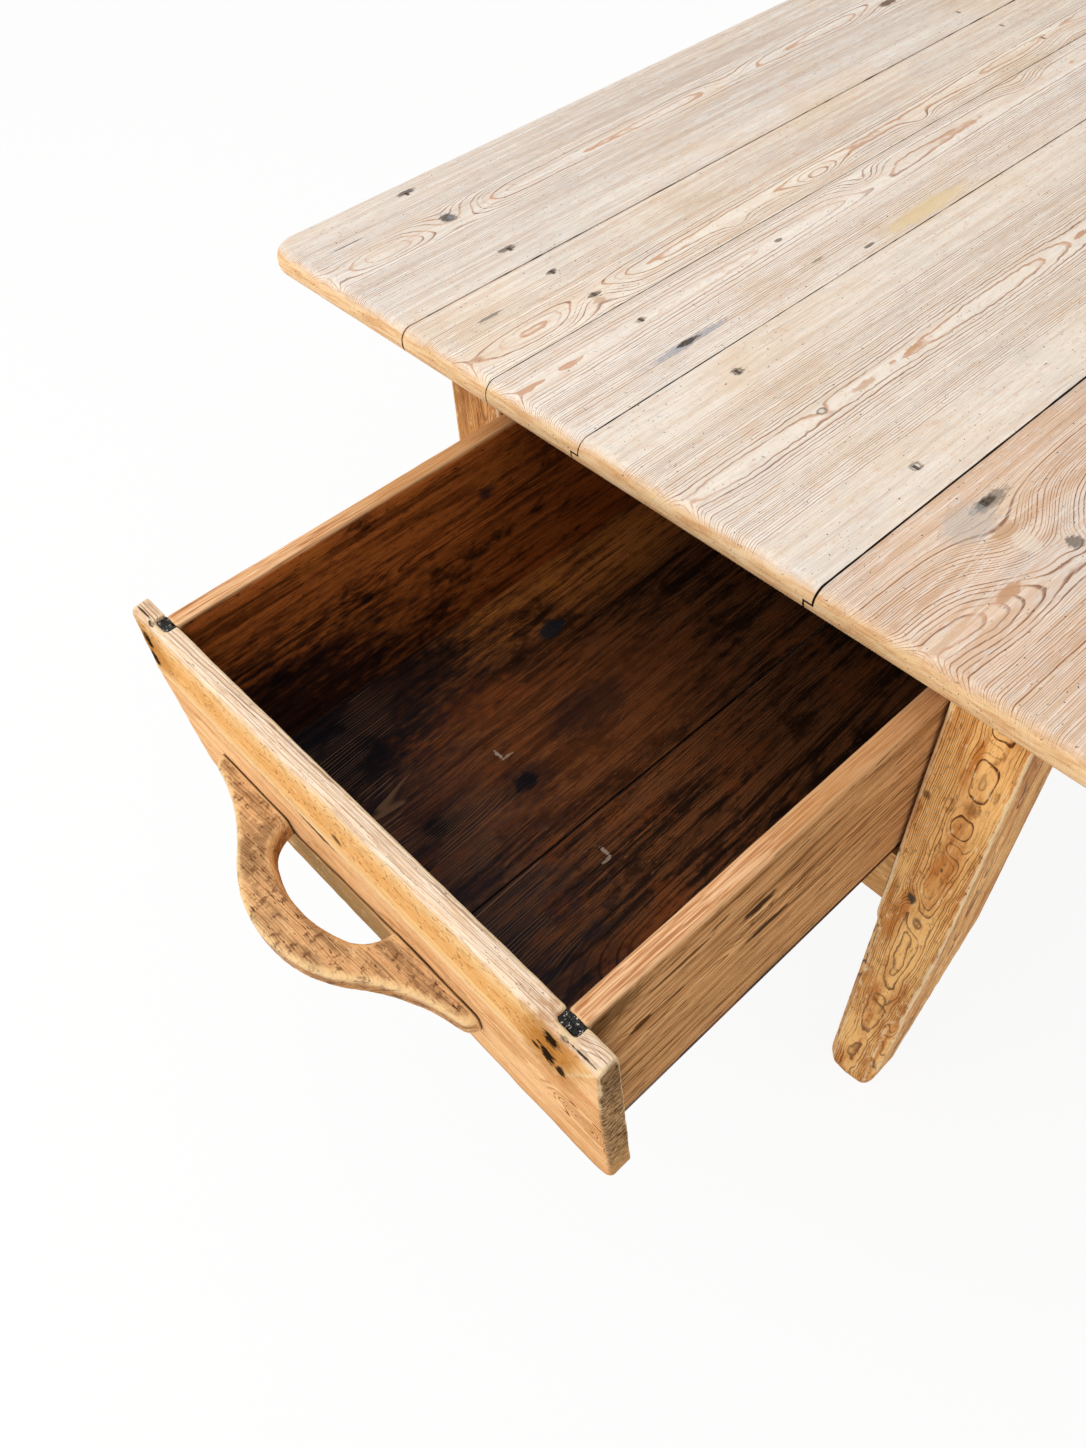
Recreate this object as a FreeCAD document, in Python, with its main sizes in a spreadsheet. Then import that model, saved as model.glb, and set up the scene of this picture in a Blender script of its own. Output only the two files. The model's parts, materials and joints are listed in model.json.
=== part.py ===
"""Farmhouse table in pine, with a deep drawer that draws out at one end.

Millimetres. X is the width, Y the length and Z is up. The floor is at zero, and the origin is
under the middle of the footprint with the drawer drawn out. The drawer is at the -Y end.
"""

import FreeCAD, Part
import math
import os
import re

import Sketcher

document = FreeCAD.newDocument("FarmhouseTable")
sheet = document.addObject("Spreadsheet::Sheet", "Sizes")

# Driving dimensions of the table, one name for each size that can be set by itself
SIZES = {
    # top of six boards
    "table_height": 769,
    "top_length": 2000,
    "top_thickness": 30,
    "top_corner_radius": 34,
    "top_edge_radius": 13,
    "top_overhang": 31,
    "board_1_width": 247,
    "board_2_width": 130,
    "board_3_width": 128,
    "board_4_width": 271,
    "board_5_width": 259,
    "board_6_width": 215,
    "open_joint_gap": 2.4,
    "close_joint_gap": 0.5,
    "lapped_joint_gap": 1.4,
    "lap_width": 9,
    "lap_thickness": 15,
    # battens under the top and what holds them
    "batten_width": 90,
    "batten_thickness": 27,
    "batten_end_inset": 22,
    "batten_end_bevel": 46,
    "batten_end_thickness": 14,
    "batten_from_end": 179,
    "top_nail_length": 50,
    "top_nail_inset": 34,
    "dowel_offset": 24,
    "dowel_radius": 5,
    "dowel_length": 44,
    # nails: a long flat head that tapers to a square point
    "nail_head_length": 7,
    "nail_head_width": 4.4,
    "nail_point_width": 2,
    "nail_sinking": 1,
    "nail_clearance": 0.2,
    # legs
    "leg_width": 75,
    "leg_depth": 73,
    "leg_taper_height": 372,
    "foot_width": 61,
    "foot_depth": 49,
    "foot_radius": 7,
    "leg_chamfer": 9,
    "chamfer_runout": 26,
    "inner_chamfer_stop": 352,
    "outer_chamfer_stop": 190,
    # rails and aprons
    "rail_thickness": 38,
    "lower_rail_height": 90,
    "rail_setback": 2,
    "rail_bevel_height": 22,
    "rail_bevel_depth": 7,
    "top_rail_height": 25,
    "top_rail_depth": 50,
    "top_rail_setback": 9,
    "top_rail_lap": 38,
    "dovetail_neck_inset": 9,
    "dovetail_end_inset": 4,
    "apron_thickness": 28,
    "apron_height": 289,
    "tenon_thickness": 14,
    "tenon_length": 40,
    "tenon_shoulder": 12,
    "apron_tenon_drop": 36,
    "apron_tenon_rise": 22,
    "apron_arris": 3,
    "joint_clearance": 0.15,
    # runners
    "runner_width": 34,
    "runner_height": 32,
    "runner_length": 900,
    "runner_nail_length": 50,
    "runner_nail_inset": 60,
    "runner_stub_length": 12,
    "runner_stub_inset": 8,
    "running_clearance": 0.3,
    "rail_clearance": 2.5,
    # drawer box
    "drawer_open": 395,
    "drawer_inner_width": 495,
    "drawer_depth": 820,
    "drawer_drop": 31,
    "drawer_play": 3,
    "side_thickness": 20,
    "side_height": 216,
    "side_top_radius": 4,
    "bottom_thickness": 11,
    "bottom_joint_offset": 42,
    "bottom_joint_front_gap": 0.8,
    "bottom_joint_back_gap": 4,
    "bottom_inset": 0.8,
    "bottom_arris": 1.6,
    "bottom_nail_length": 34,
    "bottom_nail_inset": 60,
    "back_thickness": 18,
    "back_inset": 22,
    "back_drop": 20,
    "back_housing_depth": 7,
    # drawer front
    "front_width": 594,
    "front_height": 243,
    "front_thickness": 23,
    "front_rise": 2,
    "front_lower_radius": 20,
    "front_lean": 3.5,
    "brow_height": 75,
    "brow_depth": 4.5,
    "front_brow_radius": 6,
    "front_arris": 3,
    "housing_depth": 11,
    "bottom_groove_depth": 8,
    "broken_tongue_depth": 13,
    "fill_sinking": 3,
    "front_nail_length": 46,
    "front_nail_drop": 28,
    "front_nail_spacing": 30,
    # handle, a carved plate on two long feet
    "handle_offset": -34,
    "handle_drop": 144,
    "handle_thickness": 27,
    "handle_reach": 84,
    "handle_crown_radius": 140,
    "handle_cove_radius": 204,
    "handle_flank_angle": 38,
    "handle_foot_angle": 10,
    "handle_edge_radius": 6,
    "handle_bevel": 3,
    "grip_reach": 46,
    "grip_crown_radius": 140,
    "grip_crown_angle": 23,
    "handle_dowel_radius": 6,
    "handle_dowel_in_front": 13,
    "handle_dowel_in_handle": 20,
    "handle_dowel_offset": 112,
    # one overrun for all cuts
    "overrun": 5,
}

# Places and derived sizes, each an expression in the driving dimensions
PLACES = {
    "underside": "table_height - top_thickness",
    "half_width": "(board_1_width + board_2_width + board_3_width + board_4_width"
                  " + board_5_width + board_6_width) / 2",
    "handle_tip": "(front_thickness + handle_reach - handle_edge_radius) * cos(front_lean)"
                  " - (handle_drop + handle_edge_radius) * sin(front_lean)"
                  " + handle_edge_radius",
    "drawer_reach": "drawer_open + handle_tip - top_overhang",
    "top_back": "(top_length + drawer_reach) / 2",
    "top_front": "top_back - top_length",
    "base_middle": "top_back - top_length / 2",
    "leg_front": "top_front + top_overhang",
    "leg_back": "leg_front + leg_depth",
    "far_leg_front": "2 * base_middle - leg_back",
    "side_inner": "drawer_inner_width / 2",
    "side_outer": "side_inner + side_thickness",
    "leg_inner": "side_outer + drawer_play",
    "leg_outer": "leg_inner + leg_width",
    "side_top": "underside - drawer_drop",
    "side_foot": "side_top - side_height",
    "drawer_foot": "side_foot - bottom_thickness",
    "drawer_face": "leg_front - drawer_open",
    "drawer_end": "drawer_face + drawer_depth",
    "front_top": "side_top + front_rise",
    "rail_top": "drawer_foot - rail_clearance",
    "rail_foot": "rail_top - lower_rail_height",
    "rail_front": "leg_front + rail_setback",
    "apron_foot": "underside - apron_height",
    "batten_foot": "underside - batten_thickness",
    "batten_centre_1": "top_front + batten_from_end",
    "batten_centre_2": "base_middle",
    "batten_centre_3": "top_back - batten_from_end",
    "joint_0": "-half_width",
    "joint_1": "joint_0 + board_1_width",
    "joint_2": "joint_1 + board_2_width",
    "joint_3": "joint_2 + board_3_width",
    "joint_4": "joint_3 + board_4_width",
    "joint_5": "joint_4 + board_5_width",
    "joint_6": "half_width",
    "lap_level": "underside + lap_thickness",
    "tenon_front": "rail_front + (rail_thickness - tenon_thickness) / 2",
    "apron_tenon": "leg_inner + (apron_thickness - tenon_thickness) / 2",
    "apron_tenon_top": "underside - apron_tenon_drop",
    "apron_tenon_foot": "apron_foot + apron_tenon_rise",
    "top_rail_foot": "underside - top_rail_height",
    "top_rail_front": "leg_front + top_rail_setback",
    "runner_top": "drawer_foot - running_clearance",
    "runner_front": "rail_front + rail_thickness",
    "back_front": "drawer_end - back_inset - back_thickness",
    "back_top": "side_top - back_drop",
    "end_tenon": "rail_front + (apron_thickness - tenon_thickness) / 2",
    "runner_inner": "leg_inner - runner_width",
    "runner_foot": "runner_top - runner_height",
    "groove_end": "drawer_face + (front_top - side_foot) * tan(front_lean)"
                  " - bottom_groove_depth",
    "bottom_front": "groove_end + joint_clearance",
    "bottom_outer": "side_outer - bottom_inset",
    "side_middle": "side_inner + side_thickness / 2",
    "handle_middle": "handle_drop + handle_thickness / 2",
    "crown_end": "handle_crown_radius * sin(handle_flank_angle)",
    "crown_fall": "handle_crown_radius * (1 - cos(handle_flank_angle))",
    "cove_fall": "handle_cove_radius * (cos(handle_foot_angle) - cos(handle_flank_angle))",
    "cove_end": "crown_end + handle_cove_radius * (sin(handle_flank_angle) - sin(handle_foot_angle))",
    "toe_height": "handle_reach - crown_fall - cove_fall",
    "toe_radius": "toe_height / cos(handle_foot_angle)",
    "toe_end": "cove_end + toe_radius * (1 - sin(handle_foot_angle))",
    "grip_crown_end": "grip_crown_radius * sin(grip_crown_angle)",
    "grip_side_height": "grip_reach - grip_crown_radius * (1 - cos(grip_crown_angle))",
    "grip_side_radius": "grip_side_height / cos(grip_crown_angle)",
    "grip_end": "grip_crown_end + grip_side_radius * (1 - sin(grip_crown_angle))",
}

for row, (name, value) in enumerate(SIZES.items(), start=1):
    sheet.set(f"A{row}", name)
    sheet.set(f"B{row}", str(value))
    sheet.setAlias(f"B{row}", name)
document.recompute()


def formula(text):
    """The expression in which the names of places and sizes are replaced by cells."""
    def expand(match):
        word = match.group()
        if word in PLACES:
            return "(" + formula(PLACES[word]) + ")"
        return "Sizes." + word if word in SIZES else word
    return re.sub(r"[a-z][a-z0-9_]*", expand, text)


def number(text):
    """The value of an expression, in millimetres."""
    found = sheet.evalExpression(formula(text))
    return float(getattr(found, "Value", found))


def bind(piece, name, text):
    """Ties one property to the sheet."""
    piece.setExpression(name, formula(text))


def place(piece, corner):
    """Ties the position of a primitive to the sheet."""
    for axis, text in zip("xyz", corner):
        bind(piece, "Placement.Base." + axis, text)


def new_body(label):
    """An empty body under the name of its piece."""
    body = document.addObject("PartDesign::Body", "body_" + label)
    body.Label = label
    return body


def sketch_on(body, role, level="0"):
    """A sketch parallel to one origin plane of its body, at a level along the plane's normal."""
    sketch = body.newObject("Sketcher::SketchObject", "sketch_" + body.Label)
    plane = next(item for item in body.Origin.OriginFeatures if item.Role == role)
    sketch.AttachmentSupport = [(plane, "")]
    sketch.MapMode = "FlatFace"
    bind(sketch, "AttachmentOffset.Base.z", level)
    return sketch


def arc_between(start, end, radius, turn):
    """A circular arc of less than half a turn, to the left (turn 1) or to the right (turn -1)."""
    chord = end - start
    to_centre = math.sqrt(radius ** 2 - (chord.Length / 2) ** 2)
    normal = FreeCAD.Vector(-chord.y, chord.x, 0).normalize()
    centre = (start + end) / 2 + normal * (turn * to_centre)
    first, last = (start, end) if turn > 0 else (end, start)
    angles = [math.atan2(point.y - centre.y, point.x - centre.x) for point in (first, last)]
    circle = Part.Circle(centre, FreeCAD.Vector(0, 0, 1), radius)
    return Part.ArcOfCircle(circle, angles[0], angles[1])


def outline(sketch, corners):
    """Draws a closed outline. A corner is (across, up), or (across, up, radius, turn) where an
    arc leaves it. Every corner and radius is tied to the sheet."""
    points = [FreeCAD.Vector(number(item[0]), number(item[1]), 0) for item in corners]
    starts, ends = [], []
    for index, item in enumerate(corners):
        start = points[index]
        end = points[(index + 1) % len(points)]
        if len(item) == 2:
            edge = sketch.addGeometry(Part.LineSegment(start, end))
            starts.append((edge, 1))
            ends.append((edge, 2))
        else:
            edge = sketch.addGeometry(arc_between(start, end, number(item[2]), item[3]))
            starts.append((edge, 1 if item[3] > 0 else 2))
            ends.append((edge, 2 if item[3] > 0 else 1))
            rule = sketch.addConstraint(Sketcher.Constraint("Radius", edge, number(item[2])))
            sketch.setExpression(f"Constraints[{rule}]", formula(item[2]))
    for index, item in enumerate(corners):
        before = ends[index - 1]
        sketch.addConstraint(Sketcher.Constraint("Coincident", *before, *starts[index]))
        for kind, text in (("DistanceX", item[0]), ("DistanceY", item[1])):
            rule = sketch.addConstraint(
                Sketcher.Constraint(kind, -1, 1, *starts[index], number(text)))
            sketch.setExpression(f"Constraints[{rule}]", formula(text))


def rectangle(sketch, left, foot, right, top):
    """A rectangle between two sides and two levels."""
    outline(sketch, [(left, foot), (right, foot), (right, top), (left, top)])


def disc(sketch, across, up, radius):
    """A circle tied to the sheet by its centre and radius."""
    centre = FreeCAD.Vector(number(across), number(up), 0)
    edge = sketch.addGeometry(Part.Circle(centre, FreeCAD.Vector(0, 0, 1), number(radius)))
    rules = (
        (Sketcher.Constraint("DistanceX", -1, 1, edge, 3, centre.x), across),
        (Sketcher.Constraint("DistanceY", -1, 1, edge, 3, centre.y), up),
        (Sketcher.Constraint("Radius", edge, number(radius)), radius),
    )
    for constraint, text in rules:
        rule = sketch.addConstraint(constraint)
        sketch.setExpression(f"Constraints[{rule}]", formula(text))


def pad(body, sketch, length, backwards=False):
    """Gives an outline its thickness."""
    feature = body.newObject("PartDesign::Pad", "pad_" + body.Label)
    feature.Profile = sketch
    feature.Reversed = backwards
    bind(feature, "Length", length)
    return feature


def pocket(body, sketch, depth=None, backwards=False):
    """Cuts an outline into the body, or right through it both ways where no depth is given."""
    feature = body.newObject("PartDesign::Pocket", "pocket_" + body.Label)
    feature.Profile = sketch
    feature.Reversed = backwards
    if depth is None:
        feature.Type = "ThroughAll"
        feature.Midplane = True
    else:
        bind(feature, "Length", depth)
    return feature


def round_edges(body, radius, chosen):
    """Rounds the edges for which chosen(edge) is true."""
    document.recompute()
    base = body.Tip
    names = [f"Edge{index}" for index, edge in enumerate(base.Shape.Edges, 1) if chosen(edge)]
    feature = body.newObject("PartDesign::Fillet", "round_" + body.Label)
    feature.Base = (base, names)
    bind(feature, "Radius", radius)
    return feature


def bevel_edges(body, size, chosen):
    """Takes an equal bevel off the edges for which chosen(edge) is true."""
    document.recompute()
    base = body.Tip
    names = [f"Edge{index}" for index, edge in enumerate(base.Shape.Edges, 1) if chosen(edge)]
    feature = body.newObject("PartDesign::Chamfer", "bevel_" + body.Label)
    feature.Base = (base, names)
    bind(feature, "Size", size)
    return feature


# Lengths that differ by less than this count as equal
TOLERANCE = 0.01


def lies_at(edge, **levels):
    """Whether an edge lies wholly at the given x, y or z, each the text of a place."""
    points = edge.discretize(3)
    return all(abs(getattr(point, axis) - number(text)) < TOLERANCE
               for axis, text in levels.items() for point in points)


def mirrored(source, label, across_x=True, middle="0"):
    """The same piece for the other side of the table, or for its other end."""
    piece = document.addObject("Part::Mirroring", "mirror_" + label)
    piece.Source = source
    piece.Label = label
    piece.Normal = FreeCAD.Vector(1, 0, 0) if across_x else FreeCAD.Vector(0, 1, 0)
    bind(piece, "Base.x" if across_x else "Base.y", middle)
    return piece


def group(kind, label, members):
    """Several solids as one compound or one fused tool."""
    piece = document.addObject(kind, "group_" + label)
    piece.Label = label
    if kind == "Part::Compound":
        piece.Links = members
    else:
        piece.Shapes = members
    return piece


def cut_by(source, tools, label):
    """The source less its tools."""
    tool = tools[0] if len(tools) == 1 else group("Part::Compound", "tools_" + label, tools)
    piece = document.addObject("Part::Cut", "cut_" + label)
    piece.Base = source
    piece.Tool = tool
    piece.Label = label
    return piece


# A nail stands on its point along the wedge's own Y axis, and each turn lays that axis one way
NAIL_TURNS = {
    "down": FreeCAD.Rotation(FreeCAD.Vector(1, 0, 0), -90),
    "up": FreeCAD.Rotation(FreeCAD.Vector(1, 0, 0), 90),
    "back": FreeCAD.Rotation(),
    "left": FreeCAD.Rotation(FreeCAD.Vector(0, 0, 1), 90),
    "right": FreeCAD.Rotation(FreeCAD.Vector(0, 0, 1), -90),
}


def nail(name, head, length, way, allowance="0", ahead="0"):
    """A tapered nail from its head to its point, or with an allowance the hole for it, which
    can also start ahead of the head and flares on there at the nail's own taper."""
    piece = document.addObject("Part::Wedge", name)
    halves = {
        "X": ("nail_head_length", "nail_point_width"),
        "Z": ("nail_head_width", "nail_point_width"),
    }
    for axis, (at_head, at_point) in halves.items():
        flare = f"({at_head} - {at_point}) / 2 * ({ahead}) / {length}"
        bind(piece, axis + "min", f"-{at_head} / 2 - {flare} - {allowance}")
        bind(piece, axis + "max", f"{at_head} / 2 + {flare} + {allowance}")
        bind(piece, axis + "2min", f"-{at_point} / 2 - {allowance}")
        bind(piece, axis + "2max", f"{at_point} / 2 + {allowance}")
    bind(piece, "Ymin", f"-({ahead})")
    bind(piece, "Ymax", f"{length} + {allowance}")
    piece.Placement = FreeCAD.Placement(FreeCAD.Vector(), NAIL_TURNS[way])
    place(piece, head)
    return piece


nodes = []


def keep(piece):
    """Puts a finished piece on the list that is written out."""
    nodes.append(piece)
    return piece


# Top: one rounded slab outline that all six boards are cut from, as when the edges were
# rounded over after the boards were laid side by side
slab = new_body("slab")
slab_plan = sketch_on(slab, "XY_Plane", "underside")
inset_x = "half_width - top_corner_radius"
outline(slab_plan, [
    (f"-({inset_x})", "top_front"),
    (inset_x, "top_front", "top_corner_radius", 1),
    ("half_width", "top_front + top_corner_radius"),
    ("half_width", "top_back - top_corner_radius", "top_corner_radius", 1),
    (inset_x, "top_back"),
    (f"-({inset_x})", "top_back", "top_corner_radius", 1),
    ("-half_width", "top_back - top_corner_radius"),
    ("-half_width", "top_front + top_corner_radius", "top_corner_radius", 1),
])
pad(slab, slab_plan, "top_thickness")
round_edges(slab, "top_edge_radius",
            lambda edge: lies_at(edge, z="underside") or lies_at(edge, z="table_height"))

# Joints between the boards, from the left: two plain edges, then three with a lower lip on the
# right-hand board that lies under its neighbour
JOINT_GAPS = ["open_joint_gap", "close_joint_gap", "lapped_joint_gap",
              "lapped_joint_gap", "lapped_joint_gap"]
LAPPED = [False, False, True, True, True]
BOARD_COUNT = len(LAPPED) + 1


def board_side(index, hand):
    """The corners of one long edge of a board, from the underside up, at joint number index.
    hand is 1 for a board's right-hand edge and -1 for its left-hand edge."""
    if index in (0, BOARD_COUNT):
        reach = f"joint_{index} + {hand} * overrun"
        return [(reach, "underside - overrun"), (reach, "table_height + overrun")]
    edge = f"joint_{index} - {hand} * {JOINT_GAPS[index - 1]} / 2"
    if not LAPPED[index - 1]:
        return [(edge, "underside - overrun"), (edge, "table_height + overrun")]
    level = f"lap_level + {hand} * joint_clearance / 2"
    return [(edge + " - lap_width", "underside - overrun"), (edge + " - lap_width", level),
            (edge, level), (edge, "table_height + overrun")]


def top_nail_places(board):
    """The two lines of nails of one board, counted from 1."""
    return [f"joint_{board - 1} + top_nail_inset", f"joint_{board} - top_nail_inset"]


BATTENS = {1: "top_batten_front", 2: "top_batten_middle", 3: "top_batten_rear"}
top_nails = []
nail_holes = {batten: [] for batten in BATTENS}
for board in range(1, BOARD_COUNT + 1):
    blank = new_body(f"blank_{board}")
    section = sketch_on(blank, "XZ_Plane", "-(top_front - overrun)")
    outline(section, board_side(board - 1, -1)[::-1] + board_side(board, 1))
    pad(blank, section, "top_length + 2 * overrun", backwards=True)
    shaped = document.addObject("Part::Common", f"shaped_{board}")
    shaped.Base = slab
    shaped.Tool = blank
    holes = []
    for batten in BATTENS:
        for line, across in enumerate(top_nail_places(board)):
            name = f"{board}_{batten}_{line}"
            head = (across, f"batten_centre_{batten}", "table_height - nail_sinking")
            top_nails.append(nail("top_nail_" + name, head, "top_nail_length", "down"))
            hole = nail("top_hole_" + name, head, "top_nail_length", "down",
                        "nail_clearance", "nail_sinking + overrun")
            holes.append(hole)
            nail_holes[batten].append(hole)
    keep(cut_by(shaped, holes, f"top_board_{board}"))
keep(group("Part::Compound", "top_nails", top_nails))

# Battens: planks across the underside, thinned at both ends, let into the aprons and held on
# each by a dowel beside the nails. Dowels are riven, with eight sides
PEG_SIDES = 8
dowels = []
apron_middle = "leg_inner + apron_thickness / 2"
for batten, label in BATTENS.items():
    blank = new_body("plank_" + label)
    section = sketch_on(blank, "XZ_Plane", f"-(batten_centre_{batten} - batten_width / 2)")
    end = "half_width - batten_end_inset"
    outline(section, [
        (f"-({end})", "underside"),
        (f"-({end})", "underside - batten_end_thickness"),
        (f"-({end} - batten_end_bevel)", "batten_foot"),
        (f"{end} - batten_end_bevel", "batten_foot"),
        (end, "underside - batten_end_thickness"),
        (end, "underside"),
    ])
    pad(blank, section, "batten_width", backwards=True)
    sockets = []
    for side in (-1, 1):
        middle = (f"{side} * ({apron_middle})", f"batten_centre_{batten} + dowel_offset",
                  "batten_foot - dowel_length / 2")
        peg = document.addObject("Part::Prism", f"dowel_{batten}_{side + 1}")
        peg.Polygon = PEG_SIDES
        bind(peg, "Circumradius", "dowel_radius")
        bind(peg, "Height", "dowel_length")
        place(peg, middle)
        dowels.append(peg)
        socket = document.addObject("Part::Cylinder", f"socket_{batten}_{side + 1}")
        bind(socket, "Radius", "dowel_radius + joint_clearance")
        bind(socket, "Height", "dowel_length")
        place(socket, middle)
        sockets.append(socket)
    keep(cut_by(blank, nail_holes[batten] + sockets, label))
keep(group("Part::Compound", "batten_dowels", dowels))


def dovetail(side):
    """The corners of one end of the top rail, from its front edge to its back edge."""
    neck = f"{side} * leg_inner"
    end = f"{side} * (leg_inner + top_rail_lap)"
    back = "top_rail_front + top_rail_depth"
    return [
        (neck, "top_rail_front"),
        (neck, "top_rail_front + dovetail_neck_inset"),
        (end, "top_rail_front + dovetail_end_inset"),
        (end, back + " - dovetail_end_inset"),
        (neck, back + " - dovetail_neck_inset"),
        (neck, back),
    ]


# Legs: square above, tapered on the outer and the back face below the rail, with stopped
# chamfers on both front corners and mortises for what the leg carries
WEDGE_UP = FreeCAD.Rotation(FreeCAD.Vector(0, 0, 1), 45) * NAIL_TURNS["up"]


def stopped_chamfer(body, across, stop):
    """A chamfer up one front corner of a leg, which runs out to nothing above its stop."""
    bar = body.newObject("PartDesign::SubtractivePrism", "chamfer_" + body.Label)
    bar.Polygon = 4
    bind(bar, "Circumradius", "leg_chamfer")
    bind(bar, "Height", stop + " + overrun")
    place(bar, (across, "leg_front", "-overrun"))
    runout = body.newObject("PartDesign::SubtractiveWedge", "runout_" + body.Label)
    for name in ("Xmin", "Zmin"):
        bind(runout, name, "-leg_chamfer / sqrt(2)")
    for name in ("Xmax", "Zmax"):
        bind(runout, name, "leg_chamfer / sqrt(2)")
    for name in ("X2min", "X2max", "Z2min", "Z2max"):
        setattr(runout, name, 0)
    bind(runout, "Ymin", "0")
    bind(runout, "Ymax", "chamfer_runout")
    runout.Placement = FreeCAD.Placement(FreeCAD.Vector(), WEDGE_UP)
    place(runout, (across, "leg_front", stop))


def make_leg(label, under_drawer):
    """A right-hand leg of the drawer end. The far legs are its mirror images, with a mortise
    for the end apron in place of those for the two rails."""
    leg = new_body(label)
    face = sketch_on(leg, "XZ_Plane", "-leg_front")
    outline(face, [
        ("leg_inner", "0"),
        ("leg_inner + foot_width", "0"),
        ("leg_outer", "leg_taper_height"),
        ("leg_outer", "underside"),
        ("leg_inner", "underside"),
    ])
    pad(leg, face, "leg_depth", backwards=True)
    taper = sketch_on(leg, "YZ_Plane", "leg_inner")
    outline(taper, [
        ("leg_front + foot_depth", "0"),
        ("leg_front + foot_depth", "-overrun"),
        ("leg_back + overrun", "-overrun"),
        ("leg_back + overrun", "leg_taper_height"),
        ("leg_back", "leg_taper_height"),
    ])
    pocket(leg, taper)
    apron_mortise = sketch_on(leg, "XZ_Plane", "-leg_back")
    rectangle(apron_mortise, "apron_tenon - joint_clearance", "apron_tenon_foot",
              "apron_tenon + tenon_thickness + joint_clearance", "apron_tenon_top")
    pocket(leg, apron_mortise, "tenon_length + joint_clearance", backwards=True)
    mortise = sketch_on(leg, "YZ_Plane", "leg_inner")
    if under_drawer:
        rectangle(mortise, "tenon_front - joint_clearance", "rail_foot + tenon_shoulder",
                  "tenon_front + tenon_thickness + joint_clearance",
                  "rail_top - tenon_shoulder")
    else:
        rectangle(mortise, "end_tenon - joint_clearance", "apron_tenon_foot",
                  "end_tenon + tenon_thickness + joint_clearance", "apron_tenon_top")
    pocket(leg, mortise, "tenon_length + joint_clearance", backwards=True)
    if under_drawer:
        seat = sketch_on(leg, "XY_Plane", "underside")
        outline(seat, dovetail(1)[1:5])
        pocket(leg, seat, "top_rail_height")
    stopped_chamfer(leg, "leg_inner", "inner_chamfer_stop")
    stopped_chamfer(leg, "leg_outer - (leg_width - foot_width) * (1 - outer_chamfer_stop / "
                    "leg_taper_height / 2)", "outer_chamfer_stop")
    round_edges(leg, "foot_radius", lambda edge: lies_at(edge, z="0"))
    return leg


front_leg = keep(make_leg("leg_front_right", True))
keep(mirrored(front_leg, "leg_front_left"))
far_leg = keep(mirrored(make_leg("far_leg", False), "leg_rear_right", False, "base_middle"))
keep(mirrored(far_leg, "leg_rear_left"))

# Top rail: a flat board over the drawer, dovetailed into the heads of both front legs
top_rail = keep(new_body("front_top_rail"))
plan = sketch_on(top_rail, "XY_Plane", "top_rail_foot")
outline(plan, dovetail(-1)[::-1] + dovetail(1))
pad(top_rail, plan, "top_rail_height")

# Lower rail: carries the drawer at the mouth, bevelled below, with a mortise for each runner
lower_rail = keep(new_body("front_lower_rail"))
section = sketch_on(lower_rail, "YZ_Plane", "-leg_inner")
outline(section, [
    ("rail_front", "rail_top"),
    ("rail_front", "rail_foot + rail_bevel_height"),
    ("rail_front + rail_bevel_depth", "rail_foot"),
    ("rail_front + rail_thickness", "rail_foot"),
    ("rail_front + rail_thickness", "rail_top"),
])
pad(lower_rail, section, "2 * leg_inner")
tenons = sketch_on(lower_rail, "YZ_Plane", "-(leg_inner + tenon_length)")
rectangle(tenons, "tenon_front", "rail_foot + tenon_shoulder",
          "tenon_front + tenon_thickness", "rail_top - tenon_shoulder")
pad(lower_rail, tenons, "2 * (leg_inner + tenon_length)")
stub_middle = "runner_top - runner_height / 2"
stub_half = "tenon_thickness / 2"
stub_holes = sketch_on(lower_rail, "XZ_Plane", "-runner_front")
for near, far in (("runner_inner + runner_stub_inset", "leg_inner - runner_stub_inset"),
                  ("-(leg_inner - runner_stub_inset)", "-(runner_inner + runner_stub_inset)")):
    rectangle(stub_holes, near + " - joint_clearance", f"{stub_middle} - {stub_half}",
              far + " + joint_clearance", f"{stub_middle} + {stub_half}")
pocket(lower_rail, stub_holes, "runner_stub_length + joint_clearance", backwards=True)

# End apron: one board tenoned between the far legs, mirrored to that end of the table
end_board = new_body("end_board")
section = sketch_on(end_board, "YZ_Plane", "-leg_inner")
rectangle(section, "rail_front", "apron_foot", "rail_front + apron_thickness", "underside")
pad(end_board, section, "2 * leg_inner")
tenons = sketch_on(end_board, "YZ_Plane", "-(leg_inner + tenon_length)")
rectangle(tenons, "end_tenon", "apron_tenon_foot", "end_tenon + tenon_thickness",
          "apron_tenon_top")
pad(end_board, tenons, "2 * (leg_inner + tenon_length)")
bevel_edges(end_board, "apron_arris", lambda edge: lies_at(edge, z="apron_foot")
            and edge.Length > number("apron_thickness + overrun"))
keep(mirrored(end_board, "rear_apron", False, "base_middle"))

# Side aprons: tenoned between the legs, notched for the battens, with a socket for each dowel
side_board = new_body("side_board")
section = sketch_on(side_board, "YZ_Plane", "leg_inner")
notches = []
for batten in BATTENS:
    centre = f"batten_centre_{batten}"
    notches += [
        (centre + " - batten_width / 2 - joint_clearance", "underside"),
        (centre + " - batten_width / 2 - joint_clearance", "batten_foot"),
        (centre + " + batten_width / 2 + joint_clearance", "batten_foot"),
        (centre + " + batten_width / 2 + joint_clearance", "underside"),
    ]
outline(section, [("far_leg_front", "underside"), ("far_leg_front", "apron_foot"),
                  ("leg_back", "apron_foot"), ("leg_back", "underside")] + notches)
pad(side_board, section, "apron_thickness")
tenons = sketch_on(side_board, "YZ_Plane", "apron_tenon")
rectangle(tenons, "leg_back - tenon_length", "apron_tenon_foot",
          "far_leg_front + tenon_length", "apron_tenon_top")
pad(side_board, tenons, "tenon_thickness")
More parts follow.
